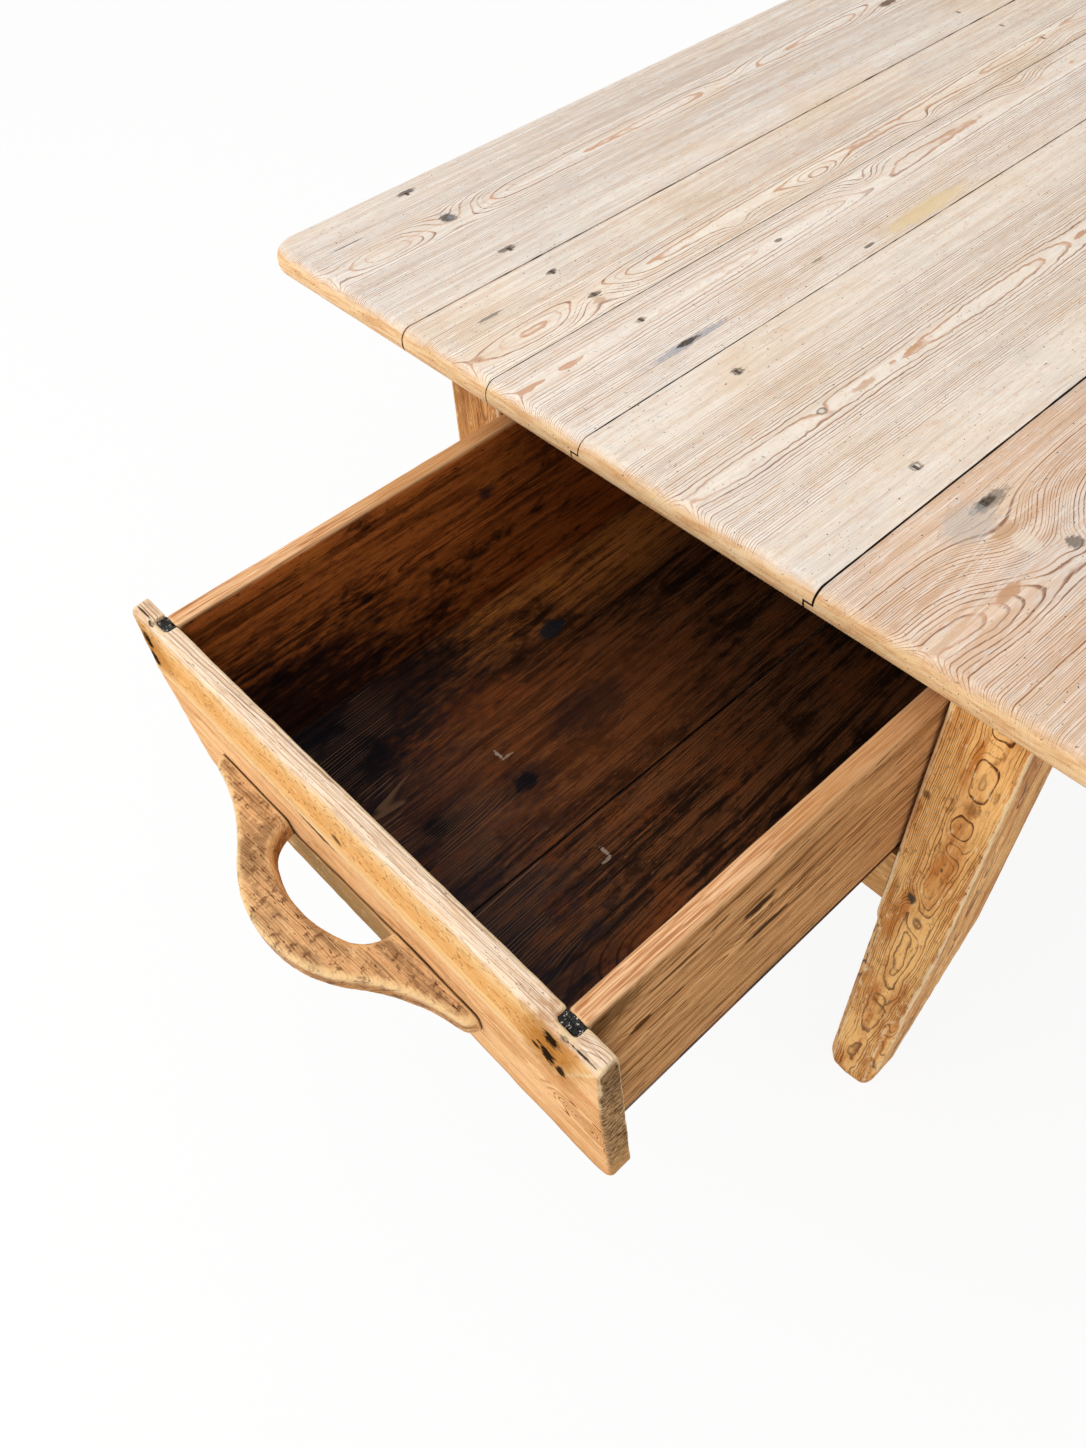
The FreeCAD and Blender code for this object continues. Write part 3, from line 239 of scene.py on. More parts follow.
# Of each board: its edges, its pale and its darker shade, the heart of its log and how it leans,
# the width of its rings (1.6 to 2.1 mm), how they sway, where knots lift them, how far from the
# heart the lines stay clear, and the marks that show.
ALONG_Y = -math.pi / 2
INK, OLD_NAIL, RUST = "#4b4a4e", "#5f5650", "#b57c50"
JAGS = (0.010, 0.020, 0.0005)
BOARDS = [
    dict(edges=(-0.625, -0.378), shades=("#f2eae1", "#e0d2c5"), heart=(-0.512, 0, 0.741),
         lean=(0.009, 0.004), ring=0.0019, clear=(0.05, 0.12),
         sway=[(0.14, 0.45, 0.0022), (0.04, 0.10, 0.0006), JAGS],
         lifts=[((-0.514, -0.593, 0), (0.024, 0.050, 0), 0.011),
                ((-0.518, -0.12, 0), (0.016, 0.05, 0), 0.004),
                ((-0.508, -0.76, 0), (0.02, 0.05, 0), 0.004),
                ((-0.504, 0.197, 0), (0.02, 0.06, 0), 0.008)],
         marks=[((-0.514, -0.593, 0), (0.011, 0.010, 0), INK, 0.9),
                ((-0.512, -0.590, 0), (0.006, 0.004, 0), "#8a8b90", 0.7),
                ((-0.595, -0.590, 0), (0.005, 0.014, 0), INK, 0.85),
                ((-0.415, -0.592, 0), (0.005, 0.013, 0), OLD_NAIL, 0.8),
                ((-0.552, -0.708, 0), (0.0016, 0.024, 0), "#6b5f58", 0.7),
                ((-0.504, 0.197, 0), (0.007, 0.020, 0), "#6a4f3c", 0.9)]),
    dict(edges=(-0.378, -0.248), shades=("#f8eddd", "#ead5c1"), heart=(-0.282, 0, 0.744),
         lean=(0.008, 0.002), ring=0.0019, clear=(0.05, 0.12),
         sway=[(0.12, 0.35, 0.0022), (0.035, 0.10, 0.0006), JAGS],
         lifts=[((-0.272, -0.593, 0), (0.020, 0.042, 0), 0.010),
                ((-0.268, -0.240, 0), (0.015, 0.038, 0), -0.008),
                ((-0.277, -0.76, 0), (0.02, 0.05, 0), 0.004),
                ((-0.264, -0.385, 0), (0.008, 0.020, 0), -0.004),
                ((-0.262, -0.056, 0), (0.012, 0.024, 0), -0.006),
                ((-0.262, 0.267, 0), (0.02, 0.05, 0), 0.009)],
         marks=[((-0.346, -0.591, 0), (0.004, 0.008, 0), OLD_NAIL, 0.85),
                ((-0.270, -0.594, 0), (0.006, 0.009, 0), RUST, 0.5),
                ((-0.281, -0.590, 0), (0.004, 0.009, 0), "#55483f", 0.8),
                ((-0.330, -0.690, 0), (0.003, 0.018, 0), "#6d6561", 0.7)]),
    dict(edges=(-0.248, -0.120), shades=("#f8efe4", "#ecdccd"), heart=(-0.215, 0, 0.728),
         lean=(-0.006, 0.004), ring=0.0020, clear=(0.05, 0.13),
         sway=[(0.12, 0.50, 0.0026), (0.04, 0.14, 0.0006), JAGS],
         lifts=[((-0.225, -0.221, 0), (0.015, 0.040, 0), 0.008),
                ((-0.232, 0.10, 0), (0.015, 0.040, 0), 0.006)],
         marks=[((-0.153, -0.588, 0), (0.006, 0.060, 0), "#a5a8b2", 0.75),
                ((-0.154, -0.586, 0), (0.004, 0.017, 0), "#3d3c40", 0.95),
                ((-0.134, -0.327, 0), (0.0025, 0.009, 0), "#5a4f47", 0.8),
                ((-0.211, -0.383, 0), (0.003, 0.007, 0), "#6a5d52", 0.8),
                ((-0.136, -0.226, 0), (0.012, 0.075, 0), "#e8cf9f", 0.7),
                ((-0.156, -0.386, 0), (0.002, 0.010, 0), "#8b8078", 0.7),
                ((-0.214, -0.591, 0), (0.004, 0.008, 0), OLD_NAIL, 0.6)]),
    dict(edges=(-0.120, 0.151), shades=("#f4e8da", "#e7d6c4"), heart=(0.014, 0, 0.748),
         lean=(0.007, -0.006), ring=0.0021, clear=(0.055, 0.10),
         sway=[(0.16, 0.30, 0.0034), (0.040, 0.09, 0.0006), (0.009, 0.016, 0.0008)],
         lifts=[((0.010, -0.584, 0), (0.010, 0.020, 0), 0.0022),
                ((0.030, -0.768, 0), (0.022, 0.045, 0), 0.004),
                ((0.013, -0.163, 0), (0.020, 0.07, 0), 0.005),
                ((0.012, 0.42, 0), (0.022, 0.07, 0), 0.007)],
         marks=[((-0.087, -0.590, 0), (0.006, 0.008, 0), "#6f655c", 0.85),
                ((-0.087, -0.590, 0), (0.003, 0.004, 0), "#d8cbbc", 0.7),
                ((0.009, -0.584, 0), (0.005, 0.007, 0), "#7a6b5e", 0.8),
                ((0.009, -0.584, 0), (0.003, 0.004, 0), "#e6dccf", 0.9),
                ((0.116, -0.590, 0), (0.006, 0.008, 0), "#7d736a", 0.85),
                ((0.116, -0.590, 0), (0.0035, 0.005, 0), "#e6e2dc", 0.95),
                ((0.012, -0.526, 0), (0.004, 0.018, 0), "#c99f7c", 0.7),
                ((0.010, -0.449, 0), (0.004, 0.012, 0), "#c99c76", 0.7),
                ((0.014, -0.163, 0), (0.004, 0.016, 0), "#bf8a62", 0.8)]),
    dict(edges=(0.151, 0.410), shades=("#efd5bf", "#deb99a"), heart=(0.262, 0, 0.728),
         lean=(0.008, -0.008), ring=0.0016, clear=(0.07, 0.15),
         sway=[(0.14, 0.50, 0.0026), (0.05, 0.15, 0.0007), JAGS],
         lifts=[((0.232, -0.604, 0), (0.040, 0.068, 0), 0.024),
                ((0.263, -0.579, 0), (0.012, 0.014, 0), 0.004),
                ((0.276, -0.76, 0), (0.02, 0.05, 0), 0.004),
                ((0.258, 0.10, 0), (0.022, 0.07, 0), 0.010)],
         marks=[((0.186, -0.584, 0), (0.008, 0.026, 0), "#7a716b", 0.75),
                ((0.185, -0.588, 0), (0.005, 0.014, 0), "#3c3430", 0.95),
                ((0.263, -0.579, 0), (0.008, 0.009, 0), "#67605b", 0.8),
                ((0.19, -0.618, 0), (0.022, 0.034, 0), "#b9b2ad", 0.5),
                ((0.236, -0.606, 0), (0.014, 0.012, 0), "#eedfcd", 0.6),
                ((0.216, -0.606, 0), (0.007, 0.018, 0), "#c69a74", 0.65),
                ((0.258, -0.664, 0), (0.006, 0.018, 0), "#c59672", 0.85),
                ((0.375, -0.590, 0), (0.005, 0.008, 0), OLD_NAIL, 0.8)]),
    dict(edges=(0.410, 0.625), shades=("#f4e8da", "#e6d4c1"), heart=(0.530, 0, 0.735),
         lean=(0.008, 0.004), ring=0.0017, clear=(0.05, 0.12),
         sway=[(0.14, 0.45, 0.0024), (0.05, 0.16, 0.0006), JAGS],
         lifts=[((0.545, -0.30, 0), (0.022, 0.050, 0), 0.010),
                ((0.520, 0.52, 0), (0.024, 0.060, 0), 0.011)],
         marks=[((0.545, -0.30, 0), (0.009, 0.011, 0), "#6a5548", 0.9),
                ((0.520, 0.52, 0), (0.011, 0.013, 0), INK, 0.9)]),
]
# Width of the dirt at each joint, in metres. The last three joints are lapped: half way down they
# step to the left by the width of the lap.
DIRT = {-0.378: 0.0006, -0.248: 0.00035, -0.120: 0.0004, 0.151: 0.0006, 0.410: 0.0005}
LAPPED, LAP_WIDTH, LAP_LEVEL, LAP_DIRT = (-0.120, 0.151, 0.410), 0.009, 0.754, 0.0008


def grime(tree, place, wander, edge):
    """How far a point lies from the dirt in a joint, less where a wandering value widens that."""
    across = add(tree, "SeparateXYZ", {"Vector": place}, out=0)
    off = add(tree, "Math", {0: across, 1: edge}, operation="SUBTRACT")
    if edge in LAPPED:
        level = add(tree, "SeparateXYZ", {"Vector": place}, out=2)
        below = add(tree, "Math", {0: level, 1: LAP_LEVEL}, operation="LESS_THAN")
        step = apart(tree, off, -LAP_WIDTH / 2)
        step = add(tree, "Math", {0: step, 1: LAP_WIDTH / 2}, operation="SUBTRACT")
        step = add(tree, "Math", {0: apart(tree, level, LAP_LEVEL), 1: step}, operation="MAXIMUM")
        step = add(tree, "Math", {0: step, 1: LAP_DIRT}, operation="SUBTRACT")
        off = add(tree, "Math", {0: below, 1: LAP_WIDTH, 2: off}, operation="MULTIPLY_ADD")
    off = add(tree, "Math", {0: off}, operation="ABSOLUTE")
    off = add(tree, "Math", {0: wander, 1: -2.4 * DIRT[edge], 2: off}, operation="MULTIPLY_ADD")
    return add(tree, "Math", {0: off, 1: step}, operation="MINIMUM") if edge in LAPPED else off


# The scrubbed white ends raggedly at the rounded edge of the top, and honey begins there. Fibres,
# specks and pits are drawn 1.4 to 2.4 mm wide, here and on the other pieces. That is coarser than
# they are, so that they show.
TOP_FACE, UNDERSIDE = 0.769, 0.739
for number, board in enumerate(BOARDS, 1):
    scrubbed, tree, place = begin(f"scrubbed pine {number}")
    turn = (ALONG_Y + board["lean"][0], 0, board["lean"][1])
    log = add(tree, "Mapping", {"Vector": place, "Location": board["heart"], "Rotation": turn},
              vector_type="TEXTURE")
    late = rings(tree, log, place, board["ring"], board["sway"], board["lifts"], (0.58, 0.90))
    aside = apart(tree, add(tree, "SeparateXYZ", {"Vector": log}), 0)
    late = worn_thin(tree, late, aside, *board["clear"], 0.30)
    late = worn_thin(tree, late, cloud(tree, log, (0.06, 0.06, 0.30), 3), 0.52, 0.26, 0.6)
    # Broad bands, worn patches and mottle first, then the lines and what is finer.
    fibres = cloud(tree, log, (0.0018, 0.0018, 0.040), 4, 0.7)
    bands = cloud(tree, log, (0.012, 0.012, 0.8), 4, 0.65)
    patches = cloud(tree, place, (0.09, 0.22, 0.2), 3, 0.6)
    mottle = cloud(tree, place, (0.009, 0.020, 0.012), 5, 0.75)
    pale, darker = board["shades"]
    colour = coat(tree, linear(pale), darker, bands, 0.40, 0.62)
    colour = coat(tree, colour, "#e9cfb2", patches, 0.50, 0.70, 0.6)
    colour = coat(tree, colour, "#e2dad2", patches, 0.46, 0.30, 0.6)
    colour = coat(tree, colour, "#e8c5ae", mottle, 0.53, 0.68, 0.6)
    colour = coat(tree, colour, "#dfd6ce", mottle, 0.47, 0.34, 0.6)
    line = coat(tree, linear("#d0a283"), "#90624a", aside, 0.003, 0.012)
    colour = coat(tree, colour, line, late, 0.05, 0.70, 0.95)
    colour = coat(tree, colour, "#fdf6ee", fibres, 0.52, 0.66, 0.55)
    colour = coat(tree, colour, "#ccb3a0", fibres, 0.47, 0.31, 0.55)
    specks = cloud(tree, log, (0.0016, 0.0016, 0.007), 2, 0.6)
    colour = coat(tree, colour, "#5f5048", specks, 0.68, 0.75, 0.75)
    pits = cloud(tree, place, (0.0024, 0.0032, 0.0024), 1)
    colour = coat(tree, colour, "#4d3f36", pits, 0.735, 0.775, 0.85)
    colour = spots(tree, log, place, colour, board["marks"], 0.0024, 0.65, 1.10)
    level = add(tree, "SeparateXYZ", {"Vector": place}, out=2)
    rubbed = cloud(tree, place, (0.016, 0.010, 0.008), 5, 0.65)
    rubbed = add(tree, "Math", {0: rubbed, 1: 0.006, 2: level}, operation="MULTIPLY_ADD")
    polish = cloud(tree, place, (0.045, 0.045, 0.004), 4, 0.65)
    # Rounded edge and underside.
    honeyed = coat(tree, linear("#f0c996"), "#d9a36c", polish, 0.42, 0.64)
    honeyed = coat(tree, honeyed, "#f3dab6", polish, 0.44, 0.32, 0.7)
    honeyed = coat(tree, honeyed, "#8a6038", specks, 0.62, 0.72, 0.6)
    honeyed = coat(tree, honeyed, "#5b3b1f", pits, 0.70, 0.76, 0.8)
    colour = coat(tree, colour, honeyed, rubbed, TOP_FACE + 0.004, TOP_FACE - 0.005, 0.93)
    colour = coat(tree, colour, "#97693c", level, UNDERSIDE + 0.006, UNDERSIDE + 0.0005, 0.75)
    wander = cloud(tree, place, (0.02, 0.035, 0.02), 2)
    for edge in board["edges"]:
        if edge in DIRT:
            near = grime(tree, place, wander, edge)
            colour = coat(tree, colour, "#241812", near, DIRT[edge], 0.2 * DIRT[edge], 0.95)
    height = add(tree, "Math", {0: fibres, 1: 0.6, 2: late}, operation="MULTIPLY_ADD")
    waxed(tree, colour, 0.56, height, 0.00022)
    cover(scrubbed, f"top_board_{number}")

# Square heads of cut iron nails, rusted nearly black and driven just below the wood.
iron, tree, place = begin("rusted iron")
scale = cloud(tree, place, (0.0012, 0.0012, 0.0012), 3, 0.7)
colour = coat(tree, linear("#4a413a"), "#857264", scale, 0.40, 0.65)
relief = add(tree, "Bump", {"Height": scale, "Distance": 0.0003})
feeds = {"Base Color": colour, "Metallic": 0.3, "Roughness": 0.75, "Normal": relief}
add(tree, "OutputMaterial", {"Surface": add(tree, "BsdfPrincipled", feeds)})
cover(iron, "top_nails", "runner_nails", "bottom_nails", "front_nails")


# Legs, rails, aprons and battens are pine that was never scrubbed. Age and wax turned it honey
# brown, and its autumn lines are wavy and dark, about 1.5 mm apart.
LEG_SWAY = ((0.05, 0.13, 0.0034), (0.014, 0.030, 0.0010))
BOARD_SWAY = ((0.10, 0.40, 0.008), (0.03, 0.10, 0.0016))


def honey(name, where, turn, lifts=(), sway=LEG_SWAY, pale="#e6ae69", deep="#cf8f4c", marks=(),
          lines=0.9):
    """Honey brown pine from a log with a place and a turn, pale along its edges from rubbing and a
    painted highlight.
    """
    finish, tree, place = begin(name)
    log = add(tree, "Mapping", {"Vector": place, "Location": where, "Rotation": turn},
              vector_type="TEXTURE")
    late = rings(tree, log, place, 0.0015, sway, lifts, (0.52, 0.90))
    fibres = cloud(tree, log, (0.0016, 0.0016, 0.035), 4, 0.7)
    tone = cloud(tree, log, (0.020, 0.020, 0.15), 4, 0.6)
    mottle = cloud(tree, log, (0.006, 0.006, 0.018), 4, 0.7)
    colour = coat(tree, linear(pale), deep, tone, 0.38, 0.62)
    late = worn_thin(tree, late, cloud(tree, log, (0.03, 0.03, 0.12), 3), 0.52, 0.30, 0.5)
    colour = coat(tree, colour, "#613213", late, 0.06, 0.75, lines)
    colour = coat(tree, colour, "#f0c88f", fibres, 0.52, 0.68, 0.5)
    colour = coat(tree, colour, "#9a6431", fibres, 0.47, 0.30, 0.6)
    colour = coat(tree, colour, "#f8d8a4", mottle, 0.56, 0.70, 0.6)
    colour = coat(tree, colour, "#834f24", mottle, 0.45, 0.31, 0.65)
    # Pale edges: wear, and a painted highlight.
    edge = add(tree, "Attribute", {}, out="Fac", attribute_name="rubbed")
    edge = add(tree, "Math", {0: mottle, 1: 0.5, 2: edge}, operation="MULTIPLY_ADD")
    colour = coat(tree, colour, "#f8dcae", edge, 0.30, 0.48, 0.85)
    specks = cloud(tree, log, (0.0014, 0.0014, 0.006), 2, 0.6)
    colour = coat(tree, colour, "#43240e", specks, 0.67, 0.74, 0.8)
    colour = spots(tree, log, place, colour, marks)
    height = add(tree, "Math", {0: fibres, 1: 0.4, 2: late}, operation="MULTIPLY_ADD")
    waxed(tree, colour, 0.42, height, 0.00030)
    return finish


# Points closer than this are one point, and the smoother copy is smoothed so many times.
SAME_POINT, SOFTENINGS = 0.00001, 12


def wear(name, finish, grid, rubs=3, dents=0.0006, lumps=0.03, thin=0.5, upright=None,
         carve=None):
    """A node's solid with its edges rubbed round and its faces a little uneven, as use leaves them.
    The grid is the fineness of its mesh, and dents and lumps are how deep and how wide its
    unevenness is, in metres. Thin is the share of faces that stays. Upright turns a leaning piece
    straight while its grid is made. The mesh keeps how far each point stands out from a smoother
    copy, counted in grids, for the pale edges, which are partly wear and partly a painted
    highlight."""
    bpy.ops.object.select_all(action="DESELECT")
    piece = bpy.data.objects.new("worn_" + name, parts[name].data.copy())
    bpy.context.scene.collection.objects.link(piece)
    piece.select_set(True)
    bpy.context.view_layer.objects.active = piece
    bpy.ops.object.mode_set(mode="EDIT")
    bpy.ops.mesh.select_all(action="SELECT")
    bpy.ops.mesh.remove_doubles(threshold=SAME_POINT)
    bpy.ops.object.mode_set(mode="OBJECT")
    if upright:
        piece.data.transform(upright)
    remesh = piece.modifiers.new("grid", "REMESH")
    remesh.mode = "VOXEL"
    remesh.voxel_size = grid
    bpy.ops.object.modifier_apply(modifier="grid")
    rub = piece.modifiers.new("rub", "SMOOTH")
    rub.iterations = rubs
    bpy.ops.object.modifier_apply(modifier="rub")
    if upright:
        piece.data.transform(upright.inverted())
    count = 3 * len(piece.data.vertices)
    shape, softer, outward = (np.empty(count, np.float32) for _ in range(3))
    piece.data.vertices.foreach_get("co", shape)
    piece.data.vertices.foreach_get("normal", outward)
    soften = piece.modifiers.new("soften", "SMOOTH")
    soften.iterations = SOFTENINGS
    soft = piece.evaluated_get(bpy.context.evaluated_depsgraph_get())
    soft.data.vertices.foreach_get("co", softer)
    piece.modifiers.remove(soften)
    stands = ((shape - softer) * outward).reshape(-1, 3).sum(axis=1) / grid
    piece.data.attributes.new("rubbed", "FLOAT", "POINT").data.foreach_set("value", stands)
    if carve:
        for vertex in piece.data.vertices:
            vertex.co = carve(vertex.co)
    uneven = bpy.data.textures.new("uneven", "CLOUDS")
    uneven.noise_scale = lumps
    dent = piece.modifiers.new("dent", "DISPLACE")
    dent.texture = uneven
    dent.texture_coords = "LOCAL"
    dent.strength = dents
    bpy.ops.object.modifier_apply(modifier="dent")
    fewer = piece.modifiers.new("fewer", "DECIMATE")
    fewer.ratio = thin
    bpy.ops.object.modifier_apply(modifier="fewer")
    bpy.ops.object.shade_smooth()
    piece.data.materials.clear()
    piece.data.materials.append(finish)
    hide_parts(name)
    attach(piece, parts[name]["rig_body"])


# The middle of a front foot, half its width and depth, the height to which it is worn, and the
# shares that it loses all round and more at its corners.
FOOT_MIDDLE, FOOT_HALF, TRODDEN = (0.301, -0.7137), (0.0305, 0.0245), 0.034
ALL_ROUND, AT_CORNERS = 0.10, 0.16


def trodden(point):
    """A point of a front leg, drawn in where its foot is worn."""
    near = max(0.0, 1 - point.z / TRODDEN) ** 2
    side = 1 if point.x > 0 else -1
    across = (point.x * side - FOOT_MIDDLE[0]) / FOOT_HALF[0]
    along = (point.y - FOOT_MIDDLE[1]) / FOOT_HALF[1]
    keep = 1 - near * (ALL_ROUND + AT_CORNERS * min(1.0, abs(across * along)))
    point.x = side * (FOOT_MIDDLE[0] + across * keep * FOOT_HALF[0])
    point.y = FOOT_MIDDLE[1] + along * keep * FOOT_HALF[1]
    return point


# The right leg's pale and deep shades are painted lighter, as painted light against the shade it
# stands in under the top.
right_leg = honey(
    "honey pine, right leg", (0.321, -0.714, 0.70), (0.016, 0.030, 0.0),
    [((0.318, 0, 0.544), (0.011, 0, 0.017), 0.005), ((0.319, 0, 0.689), (0.010, 0, 0.016), 0.004),
     ((0.318, 0, 0.607), (0.014, 0, 0.024), 0.003), ((0.299, 0, 0.437), (0.010, 0, 0.014), 0.004),
     ((0.313, 0, 0.405), (0.010, 0, 0.022), 0.005), ((0.262, 0, 0.480), (0.014, 0, 0.022), 0.006),
     ((0.308, 0, 0.226), (0.012, 0, 0.03), 0.004)],
    pale="#ffc77c", deep="#cd823a", lines=1.0,
    marks=[((0.299, -0.738, 0.437), (0.006, 0.01, 0.010), "#3f3026", 0.95),
           ((0.279, -0.738, 0.589), (0.004, 0.01, 0.007), "#6b4522", 0.8),
           ((0.319, -0.738, 0.607), (0.008, 0.01, 0.011), "#8c5829", 0.7),
           ((0.268, -0.738, 0.491), (0.007, 0.01, 0.006), "#7d4f27", 0.8),
           ((0.313, -0.738, 0.405), (0.005, 0.01, 0.012), "#8a5a2e", 0.6)])
wear("leg_front_right", right_leg, grid=0.0025, carve=trodden)
# The left leg's shades are painted darker, as painted shade against the lamp that lights it.
left_leg = honey("honey pine, left leg", (-0.285, -0.708, 0.35), (0.020, -0.020, 0.0),
                 [((-0.30, 0, 0.30), (0.014, 0, 0.02), 0.008)], pale="#d69655", deep="#b97b3e")
wear("leg_front_left", left_leg, grid=0.0025, carve=trodden)
cover(honey("honey pine, far right leg", (0.315, 1.160, 0.35), (0.0, 0.020, 0.0),
            [((0.32, 0, 0.5), (0.014, 0, 0.02), 0.008)]), "leg_rear_right")
cover(honey("honey pine, far left leg", (-0.330, 1.165, 0.35), (0.0, -0.020, 0.0),
            [((-0.32, 0, 0.4), (0.014, 0, 0.02), 0.008)]), "leg_rear_left")
cover(honey("honey pine, rails", (0, -0.78, 0.36), (0, math.pi / 2, 0),
            [((0.245, 0, 0.430), (0.03, 0, 0.014), 0.008)]),
      "front_top_rail", "front_lower_rail", "batten_dowels")
cover(honey("honey pine, end apron", (0, 1.21, 0.50), (0, math.pi / 2, 0.01), sway=BOARD_SWAY,
            lines=0.8), "rear_apron")
cover(honey("honey pine, battens", (0, 0, 0.60), (0, math.pi / 2, 0), sway=BOARD_SWAY, lines=0.7),
      "top_batten_front", "top_batten_middle", "top_batten_rear")
cover(honey("honey pine, aprons", (0.38, 0, 0.52), (ALONG_Y, 0, 0.004), sway=BOARD_SWAY, lines=0.8),
      "side_apron_right")
cover(honey("honey pine, left apron", (-0.38, 0.3, 0.56), (ALONG_Y, 0, -0.004), sway=BOARD_SWAY,
            lines=0.8), "side_apron_left")
cover(honey("honey pine, runners", (0.2, 0, 0.30), (ALONG_Y, 0, 0)),
      "drawer_runner_right", "drawer_runner_left")


# The drawer's inside is black brown from a century of use: a rubbed stain that streaks along the
# grain, red where it wore thin, with blue black ink near the front. Its grit is drawn 2 mm wide so
# that it shows.
def soiled(tree, log, place, late, shades):
    """The colour of stained wood inside the drawer, from a pale, a dark and a red shade."""
    pale, dark, red = shades
    streaks = cloud(tree, log, (0.010, 0.010, 0.18), 6, 0.74)
    blots = cloud(tree, place, (0.05, 0.08, 0.05), 4, 0.65)
    grit = cloud(tree, log, (0.0022, 0.0022, 0.012), 4, 0.7)
    colour = coat(tree, linear(pale), dark, streaks, 0.42, 0.60)
    colour = coat(tree, colour, red, blots, 0.50, 0.68, 0.8)
    colour = coat(tree, colour, "#20110a", blots, 0.46, 0.34, 0.8)
    colour = coat(tree, colour, "#1d0e07", late, 0.1, 0.9, 0.7)
    colour = coat(tree, colour, "#150a06", grit, 0.46, 0.32, 0.75)
    return coat(tree, colour, "#b08058", grit, 0.60, 0.72, 0.45)


BLUE_BLACK, BOTTOM_SEAM = "#131217", 0.042
BOTTOM_SWAY = ((0.10, 0.26, 0.008), (0.03, 0.08, 0.0014))
BOTTOM_LIFTS = [((0.170, -1.060, 0), (0.030, 0.050, 0), 0.014),
                ((-0.06, -0.93, 0), (0.03, 0.04, 0), 0.010)]
for name, heart, nodes in (("left", (-0.12, -0.7, 0.462), ("drawer_bottom_left",)),
                           ("right", (0.17, -0.8, 0.458), ("drawer_bottom_right", "drawer_back"))):
    stained, tree, place = begin(f"stained pine, {name} of the drawer")
    turn = (ALONG_Y + 0.02, 0, 0.03)
    log = add(tree, "Mapping", {"Vector": place, "Location": heart, "Rotation": turn},
              vector_type="TEXTURE")
    late = rings(tree, log, place, 0.0026, BOTTOM_SWAY, BOTTOM_LIFTS, (0.45, 0.86))
    colour = soiled(tree, log, place, late, ("#7d4b2b", "#2b1910", "#8c4b24"))
    # It is painted darker far in, as shade under the top, and at the rear left painted light makes
    # it lighter and red.
    along = add(tree, "SeparateXYZ", {"Vector": place}, out=1)
    across = add(tree, "SeparateXYZ", {"Vector": place}, out=0)
    # Painted shade under the table top, darkening towards the back.
    colour = coat(tree, colour, "#140a06", along, -0.90, -0.70, 0.55)
    # A lighter, redder copy of the stain at the rear left: painted light.
    russet_painted_light = add(tree, "MapRange", {0: across, 1: -0.12, 2: -0.24},
                 interpolation_type="SMOOTHSTEP")
    russet_painted_light = worn_thin(tree, russet_painted_light, along, -0.80, -0.95, 0)
    shades = ("#c87a3c", "#6d3d1c", "#c87c34")
    colour = coat(tree, colour, soiled(tree, log, place, late, shades), russet_painted_light, 0, 1)
    # Ink, knots and two fresh scratches.
    colour = spots(tree, log, place, colour, [
        ((-0.055, -0.860, 0.50), (0.110, 0.230, 0), "#7a4220", 0.35),
        ((-0.146, -0.910, 0.50), (0.030, 0.060, 0), "#84451f", 0.5),
        ((-0.225, -1.060, 0.50), (0.110, 0.300, 0), BLUE_BLACK, 0.8),
        ((-0.060, -1.120, 0.50), (0.300, 0.200, 0), "#24252d", 0.45),
        ((0.150, -1.150, 0.50), (0.260, 0.180, 0), "#24252d", 0.45),
        ((-0.033, -0.934, 0.50), (0.034, 0.040, 0), BLUE_BLACK, 0.5),
        ((-0.057, -0.821, 0.50), (0.036, 0.060, 0), BLUE_BLACK, 0.6),
        ((-0.055, -1.032, 0.50), (0.028, 0.034, 0), BLUE_BLACK, 0.5),
        ((-0.165, -1.039, 0.50), (0.040, 0.060, 0), BLUE_BLACK, 0.8)], 0.006)
    colour = spots(tree, log, place, colour, [
        ((-0.033, -0.934, 0.50), (0.011, 0.015, 0), BLUE_BLACK, 0.95),
        ((-0.168, -0.775, 0.50), (0.012, 0.018, 0), "#20242a", 0.9),
        ((-0.055, -1.032, 0.50), (0.011, 0.014, 0), BLUE_BLACK, 0.95)], 0.005, 0.7, 1.15)
    colour = spots(tree, log, place, colour, [
        ((-0.078, -0.931, 0.50), (0.012, 0.0032, 0), "#b7a38f", 0.8),
        ((-0.070, -0.925, 0.50), (0.0028, 0.012, 0), "#b7a38f", 0.7),
        ((0.080, -0.935, 0.50), (0.014, 0.0036, 0), "#b7a38f", 0.8),
        ((0.088, -0.941, 0.50), (0.0030, 0.012, 0), "#b7a38f", 0.7)], 0.002, 0.4, 0.6)
    # Near the front the lines stay brown in the ink.
    inky = add(tree, "MapRange", {0: along, 1: -0.90, 2: -1.00}, interpolation_type="SMOOTHSTEP")
    waning = cloud(tree, place, (0.06, 0.10, 0.06), 3)
    inky = add(tree, "Math", {0: inky, 1: worn_thin(tree, late, waning, 0.56, 0.42, 0)},
               operation="MULTIPLY")
    colour = coat(tree, colour, "#86644c", inky, 0.15, 0.8, 0.75)
    seam = apart(tree, across, BOTTOM_SEAM)
    colour = coat(tree, colour, "#0a0604", seam, 0.0022, 0.0006, 0.9)
    fibres = cloud(tree, log, (0.002, 0.002, 0.03), 3)
    height = add(tree, "Math", {0: fibres, 1: 0.8, 2: late}, operation="MULTIPLY_ADD")
    waxed(tree, colour, 0.5, height, 0.0004)
    cover(stained, *nodes)

